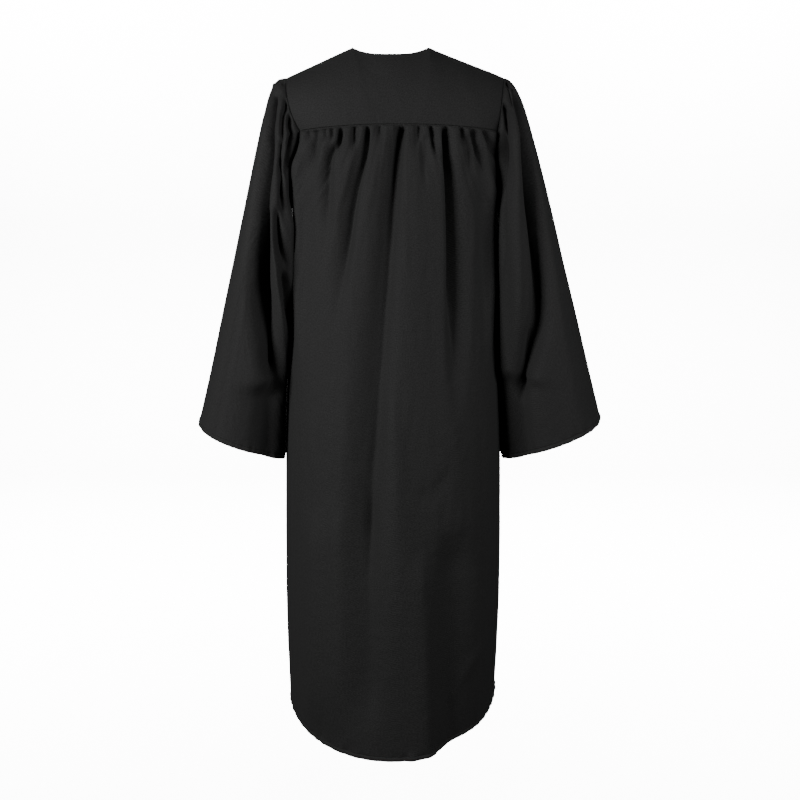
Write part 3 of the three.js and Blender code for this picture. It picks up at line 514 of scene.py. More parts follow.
def sleeve_section(side, t, turn):
    """The sleeve as a squarish tube round its outer and inner lines."""
    def at(column):
        return look_up(SLEEVE_LINES, SLEEVE_COLUMNS, column, t)

    spread = through(*side["spread"], t) * smooth(t / SLEEVE_HEAD)
    square = 2 / SLEEVE_SQUARE
    out = np.sign(np.cos(turn)) * np.abs(np.cos(turn)) ** square
    deep = np.sign(np.sin(turn)) * np.abs(np.sin(turn)) ** square
    inner_x = at("inner_x") - NESTLE * smooth((t - SLEEVE_HEAD) / 0.15)
    x = mix(inner_x, at("outer_x") + spread, (1 + out) / 2)
    z = mix(at("inner_z"), at("outer_z") - side["cuff_drop"] * t**2, (1 + out) / 2)
    return np.stack([side["sign"] * x, at("deep") * deep - at("forward"), z], -1)


def clear_of_body(side, points):
    """The inner side of the sleeve hangs against the body side, a little clear of it."""
    x, y, z = points[..., 0], points[..., 1], points[..., 2]
    half, deep, shift, square = body_section(z, y < 0)
    share = np.clip(np.abs(y) / deep, 0, 1)
    body_x = half * (1 - share**square) ** (1 / square)
    nearest = side["sign"] * shift + body_x + SLEEVE_CLEARANCE * smooth((UNDERARM_Z + 6 - z) / 40)
    away = side["sign"] * x - nearest
    pushed = side["sign"] * (nearest + (away + np.sqrt(away * away + SLEEVE_TOUCH**2)) / 2)
    return np.stack([mix(x, pushed, smooth((UNDERARM_Z + 3 - z) / 22)), y, z], -1)


def sleeve_base(side, t, turn, loop, turns):
    """The sleeve without folds: its section, eased from the armhole's own outline."""
    held = fade(t, 0, ARMHOLE_REACH)
    start = sleeve_section(side, np.zeros_like(t), turn)
    edge = points_at(turn, turns, loop, 2 * math.pi)
    return sleeve_section(side, t, turn) + (edge - start) * held[..., None]


def sleeve_places(side, loop, turns):
    """Turns a sleeve fold's places, share of length and degrees round it, to points on the sleeve."""
    def locate(t, degrees):
        return sleeve_base(side, t, np.radians(degrees), loop, turns)
    return locate


# ---------------- mesh making ----------------

def grid_normals(points, ring=False):
    """Unit normals of a grid of points; a ring's last column meets its first."""
    down = np.gradient(points, axis=0)
    if ring:
        across = (np.roll(points, -1, 1) - np.roll(points, 1, 1)) / 2
    else:
        across = np.gradient(points, axis=1)
    return unit(np.cross(across, down))


def lengths_down(points):
    """Distance in mm from the first row, down each column of a grid."""
    steps = np.linalg.norm(np.diff(points, axis=0), axis=-1)
    return np.concatenate([np.zeros((1, points.shape[1])), np.cumsum(steps, 0)])


def through_four(first, second, third, last, k):
    """A value on the smooth curve through four values at k = 0, 1/3, 2/3 and 1."""
    a, b, c = 3 * k, 3 * k - 1, 3 * k - 2
    d = 3 * k - 3
    return -first * b * c * d / 6 + second * a * c * d / 2 - third * a * b * d / 2 + last * a * b * c / 6


def pressed(points, normals, folds, locate, rise, depth):
    """Presses folds into a surface: rise is how far each point is let go from the sewn edge, 0 to 1."""
    flat = points.reshape(-1, 3)
    facing = normals.reshape(-1, 3)
    move = np.zeros_like(flat)
    k = np.linspace(0, 1, FOLD_POINTS)
    for *places, top_width, end_width, lift, lean, hold in folds:
        line = locate(*(through_four(*(place[axis] for place in places), k) for axis in (0, 1)))
        speed = np.gradient(line, k, axis=0)
        ahead = unit(speed)
        reach = FOLD_REACH * max(top_width, end_width)
        low, high = line.min(0) - reach, line.max(0) + reach
        near = np.flatnonzero(np.all((flat > low) & (flat < high), axis=1))
        gaps = np.linalg.norm(flat[near, None] - line[None], axis=-1)
        spot = gaps.argmin(1)
        offset = flat[near] - line[spot]
        along = np.sum(offset * ahead[spot], -1)
        share = np.clip(k[spot] + along / np.linalg.norm(speed[spot], axis=-1), 0, 1)
        away = np.sqrt(np.maximum(gaps[np.arange(len(near)), spot] ** 2 - along**2, 0))
        beyond = ((share == 0) & (along < 0)) | ((share == 1) & (along > 0))
        away = np.where(beyond, gaps[np.arange(len(near)), spot], away)
        profile = np.exp(-((away / mix(top_width, end_width, share)) ** FOLD_SHARPNESS))
        strength = profile * fade(share, hold, max(1 - hold, 0.001)) * depth
        across = unit(np.cross(facing[near], ahead[spot]))
        push = facing[near] * lift + across * lean * abs(lift)
        first = near[np.linalg.norm(flat[near] - line[0], axis=1).argmin()]
        sewn = rise.ravel()[first] < 0.95
        started = smooth(share / 0.1 + 0.4) if sewn else smooth(share / 0.2)
        move[near] += push * (strength * started)[:, None]
    return points + (move * rise.reshape(-1, 1)).reshape(points.shape)


def new_piece(name, points, faces, smooth_faces=True):
    """A mesh object from points in mm and face lists."""
    mesh = bpy.data.meshes.new(name)
    mesh.from_pydata((np.asarray(points, float) * MM).tolist(), [], faces)
    mesh.polygons.foreach_set("use_smooth", np.full(len(mesh.polygons), smooth_faces))
    mesh.update()
    piece = bpy.data.objects.new(name, mesh)
    bpy.context.scene.collection.objects.link(piece)
    return piece


def grid_piece(name, points, outward, ring=False):
    """A sheet of quads with UVs in mm; outward is 1 or -1, to turn its faces to the outside."""
    uv = sheet_uv(points, ring)
    index = np.arange(points[..., 0].size).reshape(points.shape[:2])
    if ring:
        index = np.concatenate([index, index[:, :1]], 1)
    uv_index = np.arange(uv[..., 0].size).reshape(uv.shape[:2])

    def corners(numbers):
        order = (numbers[:-1, :-1], numbers[:-1, 1:], numbers[1:, 1:], numbers[1:, :-1])
        return np.stack(order if outward > 0 else order[::-1], -1).reshape(-1, 4)

    piece = new_piece(name, points.reshape(-1, 3), corners(index).tolist())
    layer = piece.data.uv_layers.new(name="cloth_mm")
    layer.data.foreach_set("uv", uv.reshape(-1, 2)[corners(uv_index).ravel()].ravel())
    return piece


def give_wall(piece, thickness):
    """Turns a single sheet into cloth with a thickness, inward from its outer face."""
    wall = piece.modifiers.new("Cloth thickness", "SOLIDIFY")
    wall.thickness = thickness
    wall.offset = -1
    wall.use_even_offset = False


def finish_piece(piece, material, nodes=()):
    piece.data.materials.append(material)
    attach(piece, ROBE_BODY)
    if nodes:
        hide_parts(*nodes)
    return piece


def sheet_uv(points, ring=False):
    """Cloth-plane coordinates in mm: across the middle row, and down each column."""
    rows = points.shape[0]
    whole = np.concatenate([points, points[:, :1]], 1) if ring else points
    down = lengths_down(whole)
    across = run_along(whole[rows // 2])
    return np.stack([np.broadcast_to(across, down.shape), down], -1)


# ---------------- edges and hems ----------------

def roll_under(distance, depth, reach):
    """Lift of a sewn edge: the last few millimetres turn in towards the seam."""
    return -depth * np.exp(-((distance / reach) ** 2))


def hem_lift(distance, along, seed, held=1.0):
    """Lift near a turned hem: doubled cloth, a stitched groove at its top and small puckers."""
    height = HEM["height"]
    doubled = HEM["doubled"] * smooth((height + 2 - distance) / 2.5)
    groove = -HEM["groove"] * np.exp(-(((distance - height + 1) / 1.4) ** 2))
    edge = -HEM["edge"] * np.exp(-((distance / 0.9) ** 2))
    near = np.exp(-(((distance - height * 0.6) / (height * 0.9)) ** 2))
    draw = np.random.default_rng(seed)
    pucker = np.zeros_like(along)
    for _ in range(14):
        pucker += np.sin(2 * math.pi * along / draw.uniform(11, 34) + draw.uniform(0, 7))
    return doubled + groove + edge + HEM["pucker"] * near * pucker * held


# Distances of a hem's rows from its edge, close together where it is stitched and where it turns.
HEM_STEPS = np.array([17, 14.5, 12.5, 11.2, 10.2, 9.6, 9, 8.4, 7.6, 6.4, 5, 3.6, 2.4, 1.4, 0.7, 0.25, 0])


def shares_to_hem(length, steps):
    """Row shares that end in the close rows of a hem."""
    return np.concatenate([np.linspace(0, 1 - 20 / length, steps), 1 - HEM_STEPS / length])


# Turns of a panel's rows from its yoke seam to the underarm.
ARMHOLE_ROWS = spaced(((0.012, 3), (0.03, 4), (0.1, 12), (1.0, 40))) * QUARTER


def panel_rows(length, steps):
    """Turns and drops of a panel's rows: from its yoke seam to the underarm, then to the hem."""
    drops = shares_to_hem(length, steps)[1:]
    turn = np.concatenate([ARMHOLE_ROWS, np.full(len(drops), QUARTER)])
    drop = np.concatenate([np.zeros(len(ARMHOLE_ROWS)), drops])
    return turn, drop


def held_edges(gap):
    """0 on a sewn side edge, rising to 1 a little way in."""
    return smooth(gap / HELD_WIDTH)


def finished_panel(points, outward, seed, folds, locate, depth, calm, held):
    """Adds folds, soft unevenness, a rolled top edge and a hem to a panel's grid.

    calm is 0 where the cloth lies flat, and held is 0 where a sewn edge holds it."""
    normals = grid_normals(points) * outward
    down = lengths_down(points)
    left = down[-1] - down
    along = sheet_uv(points)[..., 0]
    calm = calm * held
    let_go = smooth(down / GATHER_RISE) * calm
    puff = GATHER_PUFF * let_go * fade(down, 40, 160)
    folded = pressed(points, normals, folds, locate, let_go, depth)
    folded = folded + normals * puff[..., None]
    normals = grid_normals(folded) * outward
    lift = soft_noise("panel", along, down, seed) + soft_noise("crumple", along, down, seed + 1)
    streaks = soft_noise("streak", along, down, seed + 5) * fade(down, 60, 260)
    lift = (lift + streaks) * smooth(down / 12) * smooth(left / 25) * calm
    lift += hem_lift(left, along, seed + 2, held) + roll_under(down, 1.9, 1.5) * held
    return folded + normals * lift[..., None]


# ---------------- pieces of cloth ----------------

def outward_of(points, normals, middle=0.0):
    """1 where a grid's normals face away from its middle line, -1 where they face it."""
    away = (points - middle)[..., :2]
    return 1.0 if np.mean(np.sum(normals[..., :2] * away, -1)) > 0 else -1.0


def yoke_grid(place, share, stops):
    """A yoke's points, outward normals and side, with the distances down and across it."""
    rows, columns = np.meshgrid(spaced(stops), share, indexing="ij")
    points = place(columns, rows)
    normals = grid_normals(points)
    outward = outward_of(points, normals)
    return points, normals * outward, outward, lengths_down(points), sheet_uv(points)[..., 0]


def back_yoke_surface():
    share = np.concatenate([np.linspace(-1, -0.985, 6), np.linspace(-0.98, 0.98, 190),
                            np.linspace(0.985, 1, 6)])
    stops = ((0.015, 4), (0.05, 4), (0.95, 52), (0.985, 4), (1.0, 4))
    points, normals, outward, down, across = yoke_grid(back_yoke_points, share, stops)
    lift = soft_noise("yoke", across, down, 11) * smooth(down / 14) * smooth((down[-1] - down) / 14)
    lift += roll_under(down, 0.5, 1.0)
    return points + normals * lift[..., None], outward


def front_yoke_surface(side):
    share = np.concatenate([np.linspace(0, 0.02, 4), np.linspace(0.04, 0.96, 70), np.linspace(0.98, 1, 5)])
    stops = ((0.015, 3), (0.05, 3), (0.95, 46), (0.985, 4), (1.0, 4))
    points, normals, outward, down, across = yoke_grid(partial(front_yoke_points, side), share, stops)
    lift = roll_under(down, 0.6, 1.2) + roll_under(down[-1] - down, 1.3, 1.5)
    lift *= held_edges(across.max() - across)
    return points + normals * lift[..., None], outward


def panel_grid(place, share, length, steps):
    """A panel's points from its yoke seam to its hem, its outward side and the distance across it."""
    turn, drop = panel_rows(length, steps)
    turns, shares = np.meshgrid(turn, share, indexing="ij")
    points = place(shares, turns, np.broadcast_to(drop[:, None], turns.shape))
    return points, outward_of(points, grid_normals(points)), sheet_uv(points)[..., 0]


def back_panel_surface(depth):
    share = np.linspace(-1, 1, BACK_PANEL["columns"])
    points, outward, across = panel_grid(back_panel_points, share, BACK_PANEL["length"], BACK_PANEL["steps"])
    held = held_edges(np.minimum(across, across.max() - across))
    return finished_panel(points, outward, 21, BACK_FOLDS, body_places(False), depth, 1.0, held), outward


def front_panel_surface(name, depth):
    side = SIDES[name]
    share = np.concatenate([np.linspace(0, 0.02, 4), np.linspace(0.03, 1, 130)])
    place = partial(front_panel_points, side)
    points, outward, across = panel_grid(place, share, FRONT_PANEL["length"], FRONT_PANEL["steps"])
    folds = [fold for fold in FRONT_FOLDS if fold[0][0] * side["sign"] > 0]
    calm = smooth((np.abs(points[..., 0]) - ZIP["calm"]) / 30)
    held = held_edges(across.max() - across)
    seed = 31 + side["sign"]
    return finished_panel(points, outward, seed, folds, body_places(True), depth, calm, held), outward


def sleeve_surface(name, depth):
    side = SIDES[name]
    loop, underarm = armhole_loop(side)
    turns = loop_turns(loop, underarm)
    length = SLEEVE_LENGTH["middle"] + SLEEVE_LENGTH["swing"] * np.cos(turns)
    upper = spaced(((0.004, 2), (0.012, 3), (0.04, 8), (0.12, 16), (0.3, 26), (0.96, 66)))
    lower = 1 - HEM_STEPS[:, None] / length[None]
    t = np.concatenate([np.broadcast_to(upper[:, None], (len(upper), len(turns))), lower])
    turn = np.broadcast_to(turns[None], t.shape)
    base = sleeve_base(side, t, turn, loop, turns)
    normals = grid_normals(base, ring=True)
    outward = outward_of(base, normals, base.mean(1, keepdims=True))
    let_go = smooth(lengths_down(base) / GATHER_RISE)
    places = sleeve_places(side, loop, turns)
    folded = pressed(base, normals * outward, SLEEVE_FOLDS[name], places, let_go, depth)
    points = np.where((t > 0)[..., None], clear_of_body(side, folded), folded)
    normals = grid_normals(points, ring=True) * outward
    down = lengths_down(points)
    left = (1 - t) * length[None]
    along = sheet_uv(points, ring=True)[:, :-1, 0]
    lift = soft_noise("sleeve", along, down, 41 + side["sign"]) * smooth(down / 14) * smooth(left / 25)
    lift += roll_under(down, 1.0, 1.4) + hem_lift(left, along, 43 + side["sign"])
    return points + normals * lift[..., None], outward


def seam_allowance(upper, lower, lower_out):
    """The seam's turned edges inside: a strip from 8 mm above a sewn line to 4 mm below it."""
    facing = grid_normals(lower)[0] * lower_out
    middle = lower[0]
    columns = np.linspace(0, upper.shape[1] - 1, lower.shape[1])
    rising = unit(points_at(columns, np.arange(upper.shape[1]), upper[-6] - upper[-1]))
    return np.stack([middle + rising * up - facing * inward for up, inward in SEAM_EDGE])


def armhole_allowance(side):
    """The armhole seam's turned edges: a ring just inside it, from the body 7 mm to the sleeve 3 mm."""
    loop, _ = armhole_loop(side)
    inward = (loop.mean(0) - loop) * np.array((0, 1, 1))
    to_sleeve = np.array((side["sign"], 0, 0))
    return np.stack([loop + to_sleeve * over + unit(inward) * deep for over, deep in ARMHOLE_EDGE])


def hem_turning(points, outward, ring=False):
    """The hem's inner layer: a strip folded up inside the lowest edge."""
    normals = grid_normals(points, ring) * outward
    lines = [(*surface_path(points, normals, up), inward) for up, inward in HEM_EDGE]
    return np.stack([path - facing * inward for path, facing, inward in lines])


def zip_line(x, z, behind=0.0):
    """Points and normals on the front at places x and z, set back behind the cloth's outer face."""
    place = body_places(True)
    points = place(x, z)
    facing = unit(np.cross(place(x, z - 1) - place(x, z + 1), place(x + 1, z) - place(x - 1, z)))
    facing = facing * np.where(facing[..., 1:2] > 0, -1, 1)
    return points - facing * behind, facing


def tape_points(side):
    """One zip tape, flat behind the front's edge."""
    z = np.linspace(V_NECK_Z, ZIP["end_z"] + 1, 160)
    x = side["sign"] * np.array((ZIP["tape_edge"], 3.5, 6, 9, 12, ZIP["tape_side"]))
    rows, columns = np.meshgrid(z, x, indexing="ij")
    return zip_line(columns, rows, ZIP["behind"])[0]


def centre_seam_points():
    """The front seam's turned edges: a strip behind the seam, from the zip's end to the hem."""
    z = np.concatenate([np.linspace(ZIP["end_z"] + 10, HEM_Z["front"] + 13, 70),
                        np.linspace(HEM_Z["front"] + 11, HEM_Z["front"] + 1, 8)])
    x = np.array((-10.0, -5, -1, 1, 5, 10))
    rows, columns = np.meshgrid(z, x, indexing="ij")
    behind = mix(1.2, 2.3, smooth((HEM_Z["front"] + 13 - rows) / 3))
    behind = mix(4.2, behind, smooth((ZIP["end_z"] + 4 - rows) / 8))
    return zip_line(columns, rows, behind[..., None])[0]


def teeth_runs():
    """Lines of coil teeth: both sides meshed below the slider, and spread apart above it."""
    runs = []
    for side in SIDES.values():
        stagger = COIL["stagger"] * side["sign"]
        z = np.linspace(SLIDER["end_z"] + stagger, ZIP["end_z"] + 4 + stagger, 300)
        runs.append(zip_line(np.full_like(z, side["sign"] * COIL["middle"]), z, COIL["behind"]))
        z = np.linspace(V_NECK_Z - 0.6, SLIDER["top_z"], 8)
        x = side["sign"] * mix(*COIL["open"], np.linspace(0, 1, 8))
        runs.append(zip_line(x, z, COIL["behind"]))
    return runs


def zip_stitch_runs():
    """Sewn lines down both sides of the zip and across its end."""
    runs = []
    for side in SIDES.values():
        z = np.linspace(V_NECK_Z - 2, ZIP["end_z"] - 5, 260)
        runs.append(zip_line(np.full_like(z, side["sign"] * (ZIP["half"] + 6)), z, -0.1))
    x = np.linspace(-10, 10, 12)
    runs.append(zip_line(x, np.full_like(x, ZIP["end_z"] - 6), -0.1))
    return runs


def hem_stitch_runs(depth):
    """Sewn lines along the body's hem and both cuffs."""
    panels = [shared(back_panel_surface, depth)]
    panels += [shared(front_panel_surface, name, depth) for name in SIDES]
    runs = [surface_path(points, grid_normals(points) * outward, HEM["stitch_up"])
            for points, outward in panels]
    for name in SIDES:
        points, outward = shared(sleeve_surface, name, depth)
        path, facing = surface_path(points, grid_normals(points, True) * outward, HEM["stitch_up"])
        runs.append((np.concatenate([path, path[:1]]), np.concatenate([facing, facing[:1]])))
    return runs


# ---------------- small hardware ----------------

def resampled(path, normals, pitch, inset):
    """Points every pitch mm along a path, with its direction and the surface normal there."""
    run = run_along(path)
    places = np.arange(inset, run[-1] - inset, pitch)
    ahead = points_at(places + 0.4, run, path) - points_at(places - 0.4, run, path)
    return points_at(places, run, path), unit(ahead), unit(points_at(places, run, normals))


LENS = np.array(((-1, 0, 0), (-0.5, 1, 0), (-0.5, 0, 1), (-0.5, -1, 0), (0.5, 1, 0), (0.5, 0, 1),
                 (0.5, -1, 0), (1, 0, 0)), float)
LENS_FACES = ((0, 1, 2), (0, 2, 3), (0, 3, 1), (1, 4, 5, 2), (2, 5, 6, 3), (3, 6, 4, 1),
              (7, 5, 4), (7, 6, 5), (7, 4, 6))


def beads(runs, pitch, length, thick, turned=False):
    """One small rounded bead every pitch mm along each line, lying along it or, turned, across it."""
    verts, faces = [], []
    for path, normals in runs:
        centre, ahead, facing = resampled(path, normals, pitch, 1.0)
        side = unit(np.cross(facing, ahead))
        ahead, side = (side, ahead) if turned else (ahead, side)
        row = (centre[:, None] + ahead[:, None] * LENS[None, :, 0, None] * length / 2
                 + side[:, None] * LENS[None, :, 1, None] * thick / 2
                 + facing[:, None] * LENS[None, :, 2, None] * thick / 2)
        start = sum(len(group) for group in verts)
        verts.append(row.reshape(-1, 3))
        for bead in range(len(row)):
            faces += [[start + bead * 8 + corner for corner in face] for face in LENS_FACES]
    return np.concatenate(verts), faces


def block(centre, half, facing, chamfer=0.35):
    """A small chamfered block: centre and half sizes in mm, its back turned to facing."""
    out = unit(facing)
    up = unit(np.array((0, 0, 1)) - out * out[2])
    axes = (np.cross(up, out), out, up)
    cloud = bmesh.new()
    for corner in np.ndindex(2, 2, 2):
        signs = np.array(corner) * 2 - 1
        for axis in range(3):
            size = np.array(half, float) - chamfer
            size[axis] += chamfer
            cloud.verts.new(centre + sum(signs[k] * size[k] * axes[k] for k in range(3)))
    bmesh.ops.convex_hull(cloud, input=cloud.verts)
    cloud.verts.index_update()
    verts = [tuple(vert.co) for vert in cloud.verts]
    faces = [[vert.index for vert in face.verts] for face in cloud.faces]
    cloud.free()
    return verts, faces


def joined(parts):
    """Several (verts, faces) parts as one."""
    verts, faces = [], []
    for points, polygons in parts:
        faces += [[index + len(verts) for index in polygon] for polygon in polygons]
        verts += [tuple(point) for point in points]
    return verts, faces


def zip_stops():
    """A clip at the top of each tape and one box stop at the closed end."""
    parts = []
    for side in SIDES.values():
        point, facing = zip_line(np.array(side["sign"] * 2.6), np.array(V_NECK_Z - 1.2), COIL["behind"])
        parts.append(block(point, (1.2, 0.9, 1.1), facing))
    point, facing = zip_line(np.array(0.0), np.array(ZIP["end_z"] + 2), COIL["behind"])
    parts.append(block(point, (2.6, 0.9, 1.6), facing))
    return joined(parts)


def surface_path(points, normals, distance_up):
    """A line across a grid at a distance in mm above its last row, with its normals."""
    up = lengths_down(points[::-1])
    path, facing = (np.stack([points_at(distance_up, up[:, column], grid[::-1, column])
                              for column in range(points.shape[1])]) for grid in (points, normals))
    return path, unit(facing)


# ---------------- materials ----------------

def linear(hex_colour):
    """sRGB hex to linear RGBA."""
    channels = [int(hex_colour[i:i + 2], 16) / 255 for i in (1, 3, 5)]
    return tuple(c / 12.92 if c <= 0.04045 else ((c + 0.055) / 1.055) ** 2.4 for c in channels) + (1.0,)


def new_material(name):
    material = bpy.data.materials.new(name)
    material.use_nodes = True
    return material, material.node_tree.nodes["Principled BSDF"]


def wire(owner, node, settings=(), links=()):
    """Sets a node's sockets or properties, and links its inputs: (input, node, output)."""
    for key, value in dict(settings).items():
        if isinstance(key, int) or key in node.inputs:
            node.inputs[key].default_value = value
        else:
            setattr(node, key, value)
    for socket, source, output in links:
        owner.node_tree.links.new(source.outputs[output], node.inputs[socket])
    return node


def add_node(owner, kind, settings=(), links=()):
    """Adds a node to a material or world, with its settings and links."""
    return wire(owner, owner.node_tree.nodes.new(kind), settings, links)


# The sockets of a colour Mix node, which share their names with its other kinds.
MIX_A, MIX_B, MIX_RESULT = 6, 7, 2


def matte_polyester(name, colour, lift, roughness, sheen):
    """Matte woven polyester: dull black cloth whose fine twill breaks the light into a soft grain."""
    cloth, shader = new_material(name)
    place = add_node(cloth, "ShaderNodeUVMap", {"uv_map": "cloth_mm"})
    # Real threads lie 0.3 mm apart; the twill is drawn at 1.9 mm so that its grain shows.
    ribs = add_node(cloth, "ShaderNodeTexWave", {"wave_type": "BANDS", "bands_direction": "DIAGONAL",
                    "Scale": 1 / (1.9 * 3.6), "Distortion": 1.4, "Detail": 1.0, "Detail Scale": 1.0},
                    [("Vector", place, "UV")])
    slubs = add_node(cloth, "ShaderNodeTexNoise", {"Scale": 0.42, "Detail": 2.0, "Roughness": 0.6},
                     [("Vector", place, "UV")])
    grain = add_node(cloth, "ShaderNodeMath", {"operation": "ADD"}, [(0, ribs, "Fac"), (1, slubs, "Fac")])
    # Soft handling creases about 20 mm across.
    rumple = add_node(cloth, "ShaderNodeTexNoise", {"Scale": 0.045, "Detail": 2.0, "Roughness": 0.45},
                      [("Vector", place, "UV")])
    shade = add_node(cloth, "ShaderNodeMapRange", {"From Min": 0.3, "From Max": 0.7, "To Min": 0.0,
                     "To Max": 1.0}, [("Value", slubs, "Fac")])
    tone = add_node(cloth, "ShaderNodeMix", {"data_type": "RGBA", MIX_A: colour, MIX_B: lift},
                    [("Factor", shade, "Result")])
    weave = add_node(cloth, "ShaderNodeBump", {"Strength": 0.35, "Distance": 0.0006},
                     [("Height", grain, "Value")])
    folds = add_node(cloth, "ShaderNodeBump", {"Strength": 0.35, "Distance": 0.004},
                     [("Height", rumple, "Fac"), ("Normal", weave, "Normal")])
    wire(cloth, shader, {"Roughness": roughness, "Sheen Weight": sheen, "Sheen Roughness": 0.5,
         "Sheen Tint": (0.9, 0.9, 0.9, 1.0), "Specular IOR Level": 0.25},
         [("Base Color", tone, MIX_RESULT), ("Normal", folds, "Normal")])
    return cloth


def sewing_thread():
    """Spun polyester thread: black, a little glossier than the cloth, so each stitch is a fine bead."""
    thread, shader = new_material("Spun Polyester Thread")
    place = add_node(thread, "ShaderNodeTexCoord")
    ply = add_node(thread, "ShaderNodeTexWave", {"Scale": 900.0, "Distortion": 0.4,
                   "bands_direction": "DIAGONAL"}, [("Vector", place, "Object")])
    twist = add_node(thread, "ShaderNodeBump", {"Strength": 0.4, "Distance": 0.0001},
                     [("Height", ply, "Fac")])
    wire(thread, shader, {"Base Color": linear("#141415"), "Roughness": 0.55}, [("Normal", twist, "Normal")])
    return thread


def zip_tape_weave():
    """Woven polyester tape: flat black with fine cross ribs, 0.9 mm apart."""
    tape, shader = new_material("Woven Polyester Tape")
    place = add_node(tape, "ShaderNodeUVMap", {"uv_map": "cloth_mm"})
    ribs = add_node(tape, "ShaderNodeTexWave", {"bands_direction": "Y", "Scale": 1 / (0.9 * 3.14)},
                    [("Vector", place, "UV")])
    bump = add_node(tape, "ShaderNodeBump", {"Strength": 0.6, "Distance": 0.0002}, [("Height", ribs, "Fac")])
    wire(tape, shader, {"Base Color": linear("#161617"), "Roughness": 0.8}, [("Normal", bump, "Normal")])
    return tape


def coil_nylon():
    """Moulded nylon coil: black plastic with a low gloss that picks out each tooth."""
    nylon, shader = new_material("Black Nylon Coil")
    place = add_node(nylon, "ShaderNodeTexCoord")
    scuff = add_node(nylon, "ShaderNodeTexNoise", {"Scale": 700.0}, [("Vector", place, "Object")])
    level = add_node(nylon, "ShaderNodeMapRange", {"To Min": 0.32, "To Max": 0.5}, [("Value", scuff, "Fac")])
    wire(nylon, shader, {"Base Color": linear("#121213")}, [("Roughness", level, "Result")])
    return nylon


def enamelled_zinc():
    """Die-cast zinc under black enamel: smooth and half glossy, worn a little brighter in patches."""
    zinc, shader = new_material("Black Enamelled Zinc")
    place = add_node(zinc, "ShaderNodeTexCoord")
    wear = add_node(zinc, "ShaderNodeTexNoise", {"Scale": 260.0, "Detail": 4.0},
                    [("Vector", place, "Object")])
    patch = add_node(zinc, "ShaderNodeMapRange", {"From Min": 0.55, "From Max": 0.75},
                     [("Value", wear, "Fac")])
    tone = add_node(zinc, "ShaderNodeMix", {"data_type": "RGBA", MIX_A: linear("#151517"),
                    MIX_B: linear("#2a2a2d")}, [("Factor", patch, "Result")])
    level = add_node(zinc, "ShaderNodeMapRange", {"To Min": 0.36, "To Max": 0.5}, [("Value", wear, "Fac")])
    wire(zinc, shader, (), [("Base Color", tone, MIX_RESULT), ("Roughness", level, "Result")])
    return zinc


def studio_board(colour):
    """Matte painted board: pale, even, with a very fine roller texture."""
    board, shader = new_material("Matte Studio Board")
    place = add_node(board, "ShaderNodeTexCoord")
    roller = add_node(board, "ShaderNodeTexNoise", {"Scale": 300.0}, [("Vector", place, "Object")])
    bump = add_node(board, "ShaderNodeBump", {"Strength": 0.05, "Distance": 0.0003},
                    [("Height", roller, "Fac")])
    wire(board, shader, {"Base Color": colour, "Roughness": 0.95}, [("Normal", bump, "Normal")])
    return board


SHARED = {}


def shared(maker, *values):
    """What a maker function gives for these values, made once and used wherever it is needed."""
    key = (maker.__name__, *values)
    if key not in SHARED:
        SHARED[key] = maker(*values)
    return SHARED[key]


def gown_cloth():
    cut = bpy.context.scene.choir_robe
    return shared(matte_polyester, "Matte Black Polyester Twill", tuple(cut.cloth_colour),
                  tuple(cut.slub_colour), cut.cloth_roughness, cut.cloth_sheen)


# ---------------- settings ----------------

class ChoirRobeSettings(bpy.types.PropertyGroup):
    """Sizes and colours of the robe that a user would change."""
    cloth_colour: FloatVectorProperty(name="Cloth", description="Colour of the gown cloth", subtype="COLOR",
                                      size=4, min=0, max=1, default=linear("#131313"))
    slub_colour: FloatVectorProperty(name="Slubs", description="Paler threads in the gown cloth",
                                     subtype="COLOR", size=4, min=0, max=1, default=linear("#262626"))
    cloth_roughness: FloatProperty(name="Roughness", description="How matt the cloth is", min=0, max=1,
                                   subtype="FACTOR", default=0.8)
    cloth_sheen: FloatProperty(name="Sheen", description="Soft edge light on the cloth's fibres", min=0,
                               max=1, subtype="FACTOR", default=0.03)
    fold_depth: FloatProperty(name="Fold Depth", description="Depth of the gathers and hanging folds, as a"
                              " share of the normal depth", min=0, max=1.3, default=1.0)
    cloth_thickness: FloatProperty(name="Cloth Thickness", description="Thickness of one layer of cloth",
                                   min=0.0002, max=0.002, unit="LENGTH", default=0.0006)
    tape_thickness: FloatProperty(name="Tape Thickness", description="Thickness of the zip's woven tape",
                                  min=0.0002, max=0.002, unit="LENGTH", default=0.0007)
    thread_thickness: FloatProperty(name="Thread Thickness", description="Thickness of the sewing thread",
                                    min=0.0002, max=0.001, unit="LENGTH", default=0.0005)
    stitch_pitch: FloatProperty(name="Stitch Pitch", description="Distance from one stitch to the next",
                                min=0.0015, max=0.005, unit="LENGTH", default=0.0028)


class RobeStageSettings(bpy.types.PropertyGroup):
    """The floor, backdrop and lights."""
    board_colour: FloatVectorProperty(name="Board", description="Colour of the floor and backdrop",
                                      subtype="COLOR", size=4, min=0, max=1, default=linear("#fafafa"))
    floor_gap: FloatProperty(name="Floor Gap", description="Height of the hem above the floor", min=0.02,
                             max=1.0, unit="LENGTH", default=0.14)
    key_power: FloatProperty(name="Key Light", description="Power of the main soft light", min=0, max=2000,
                             unit="POWER", default=60.0)
    fill_power: FloatProperty(name="Fill Light", description="Power of the fill light", min=0, max=2000,
                              unit="POWER", default=35.0)
    far_power: FloatProperty(name="Far Light", description="Power of the light on the robe's front", min=0,
                             max=2000, unit="POWER", default=60.0)
    backdrop_power: FloatProperty(name="Backdrop Light", description="Power of each light on the backdrop",
                                  min=0, max=5000, unit="POWER", default=1500.0)


# ---------------- operators ----------------

def add_cloth(cut, name, points, outward, nodes=(), ring=False):
    """One layer of gown cloth with its thickness; nodes are the CAD solids that it stands for."""
    piece = grid_piece(name, points, outward, ring)
    give_wall(piece, cut.cloth_thickness)
    return finish_piece(piece, gown_cloth(), nodes)


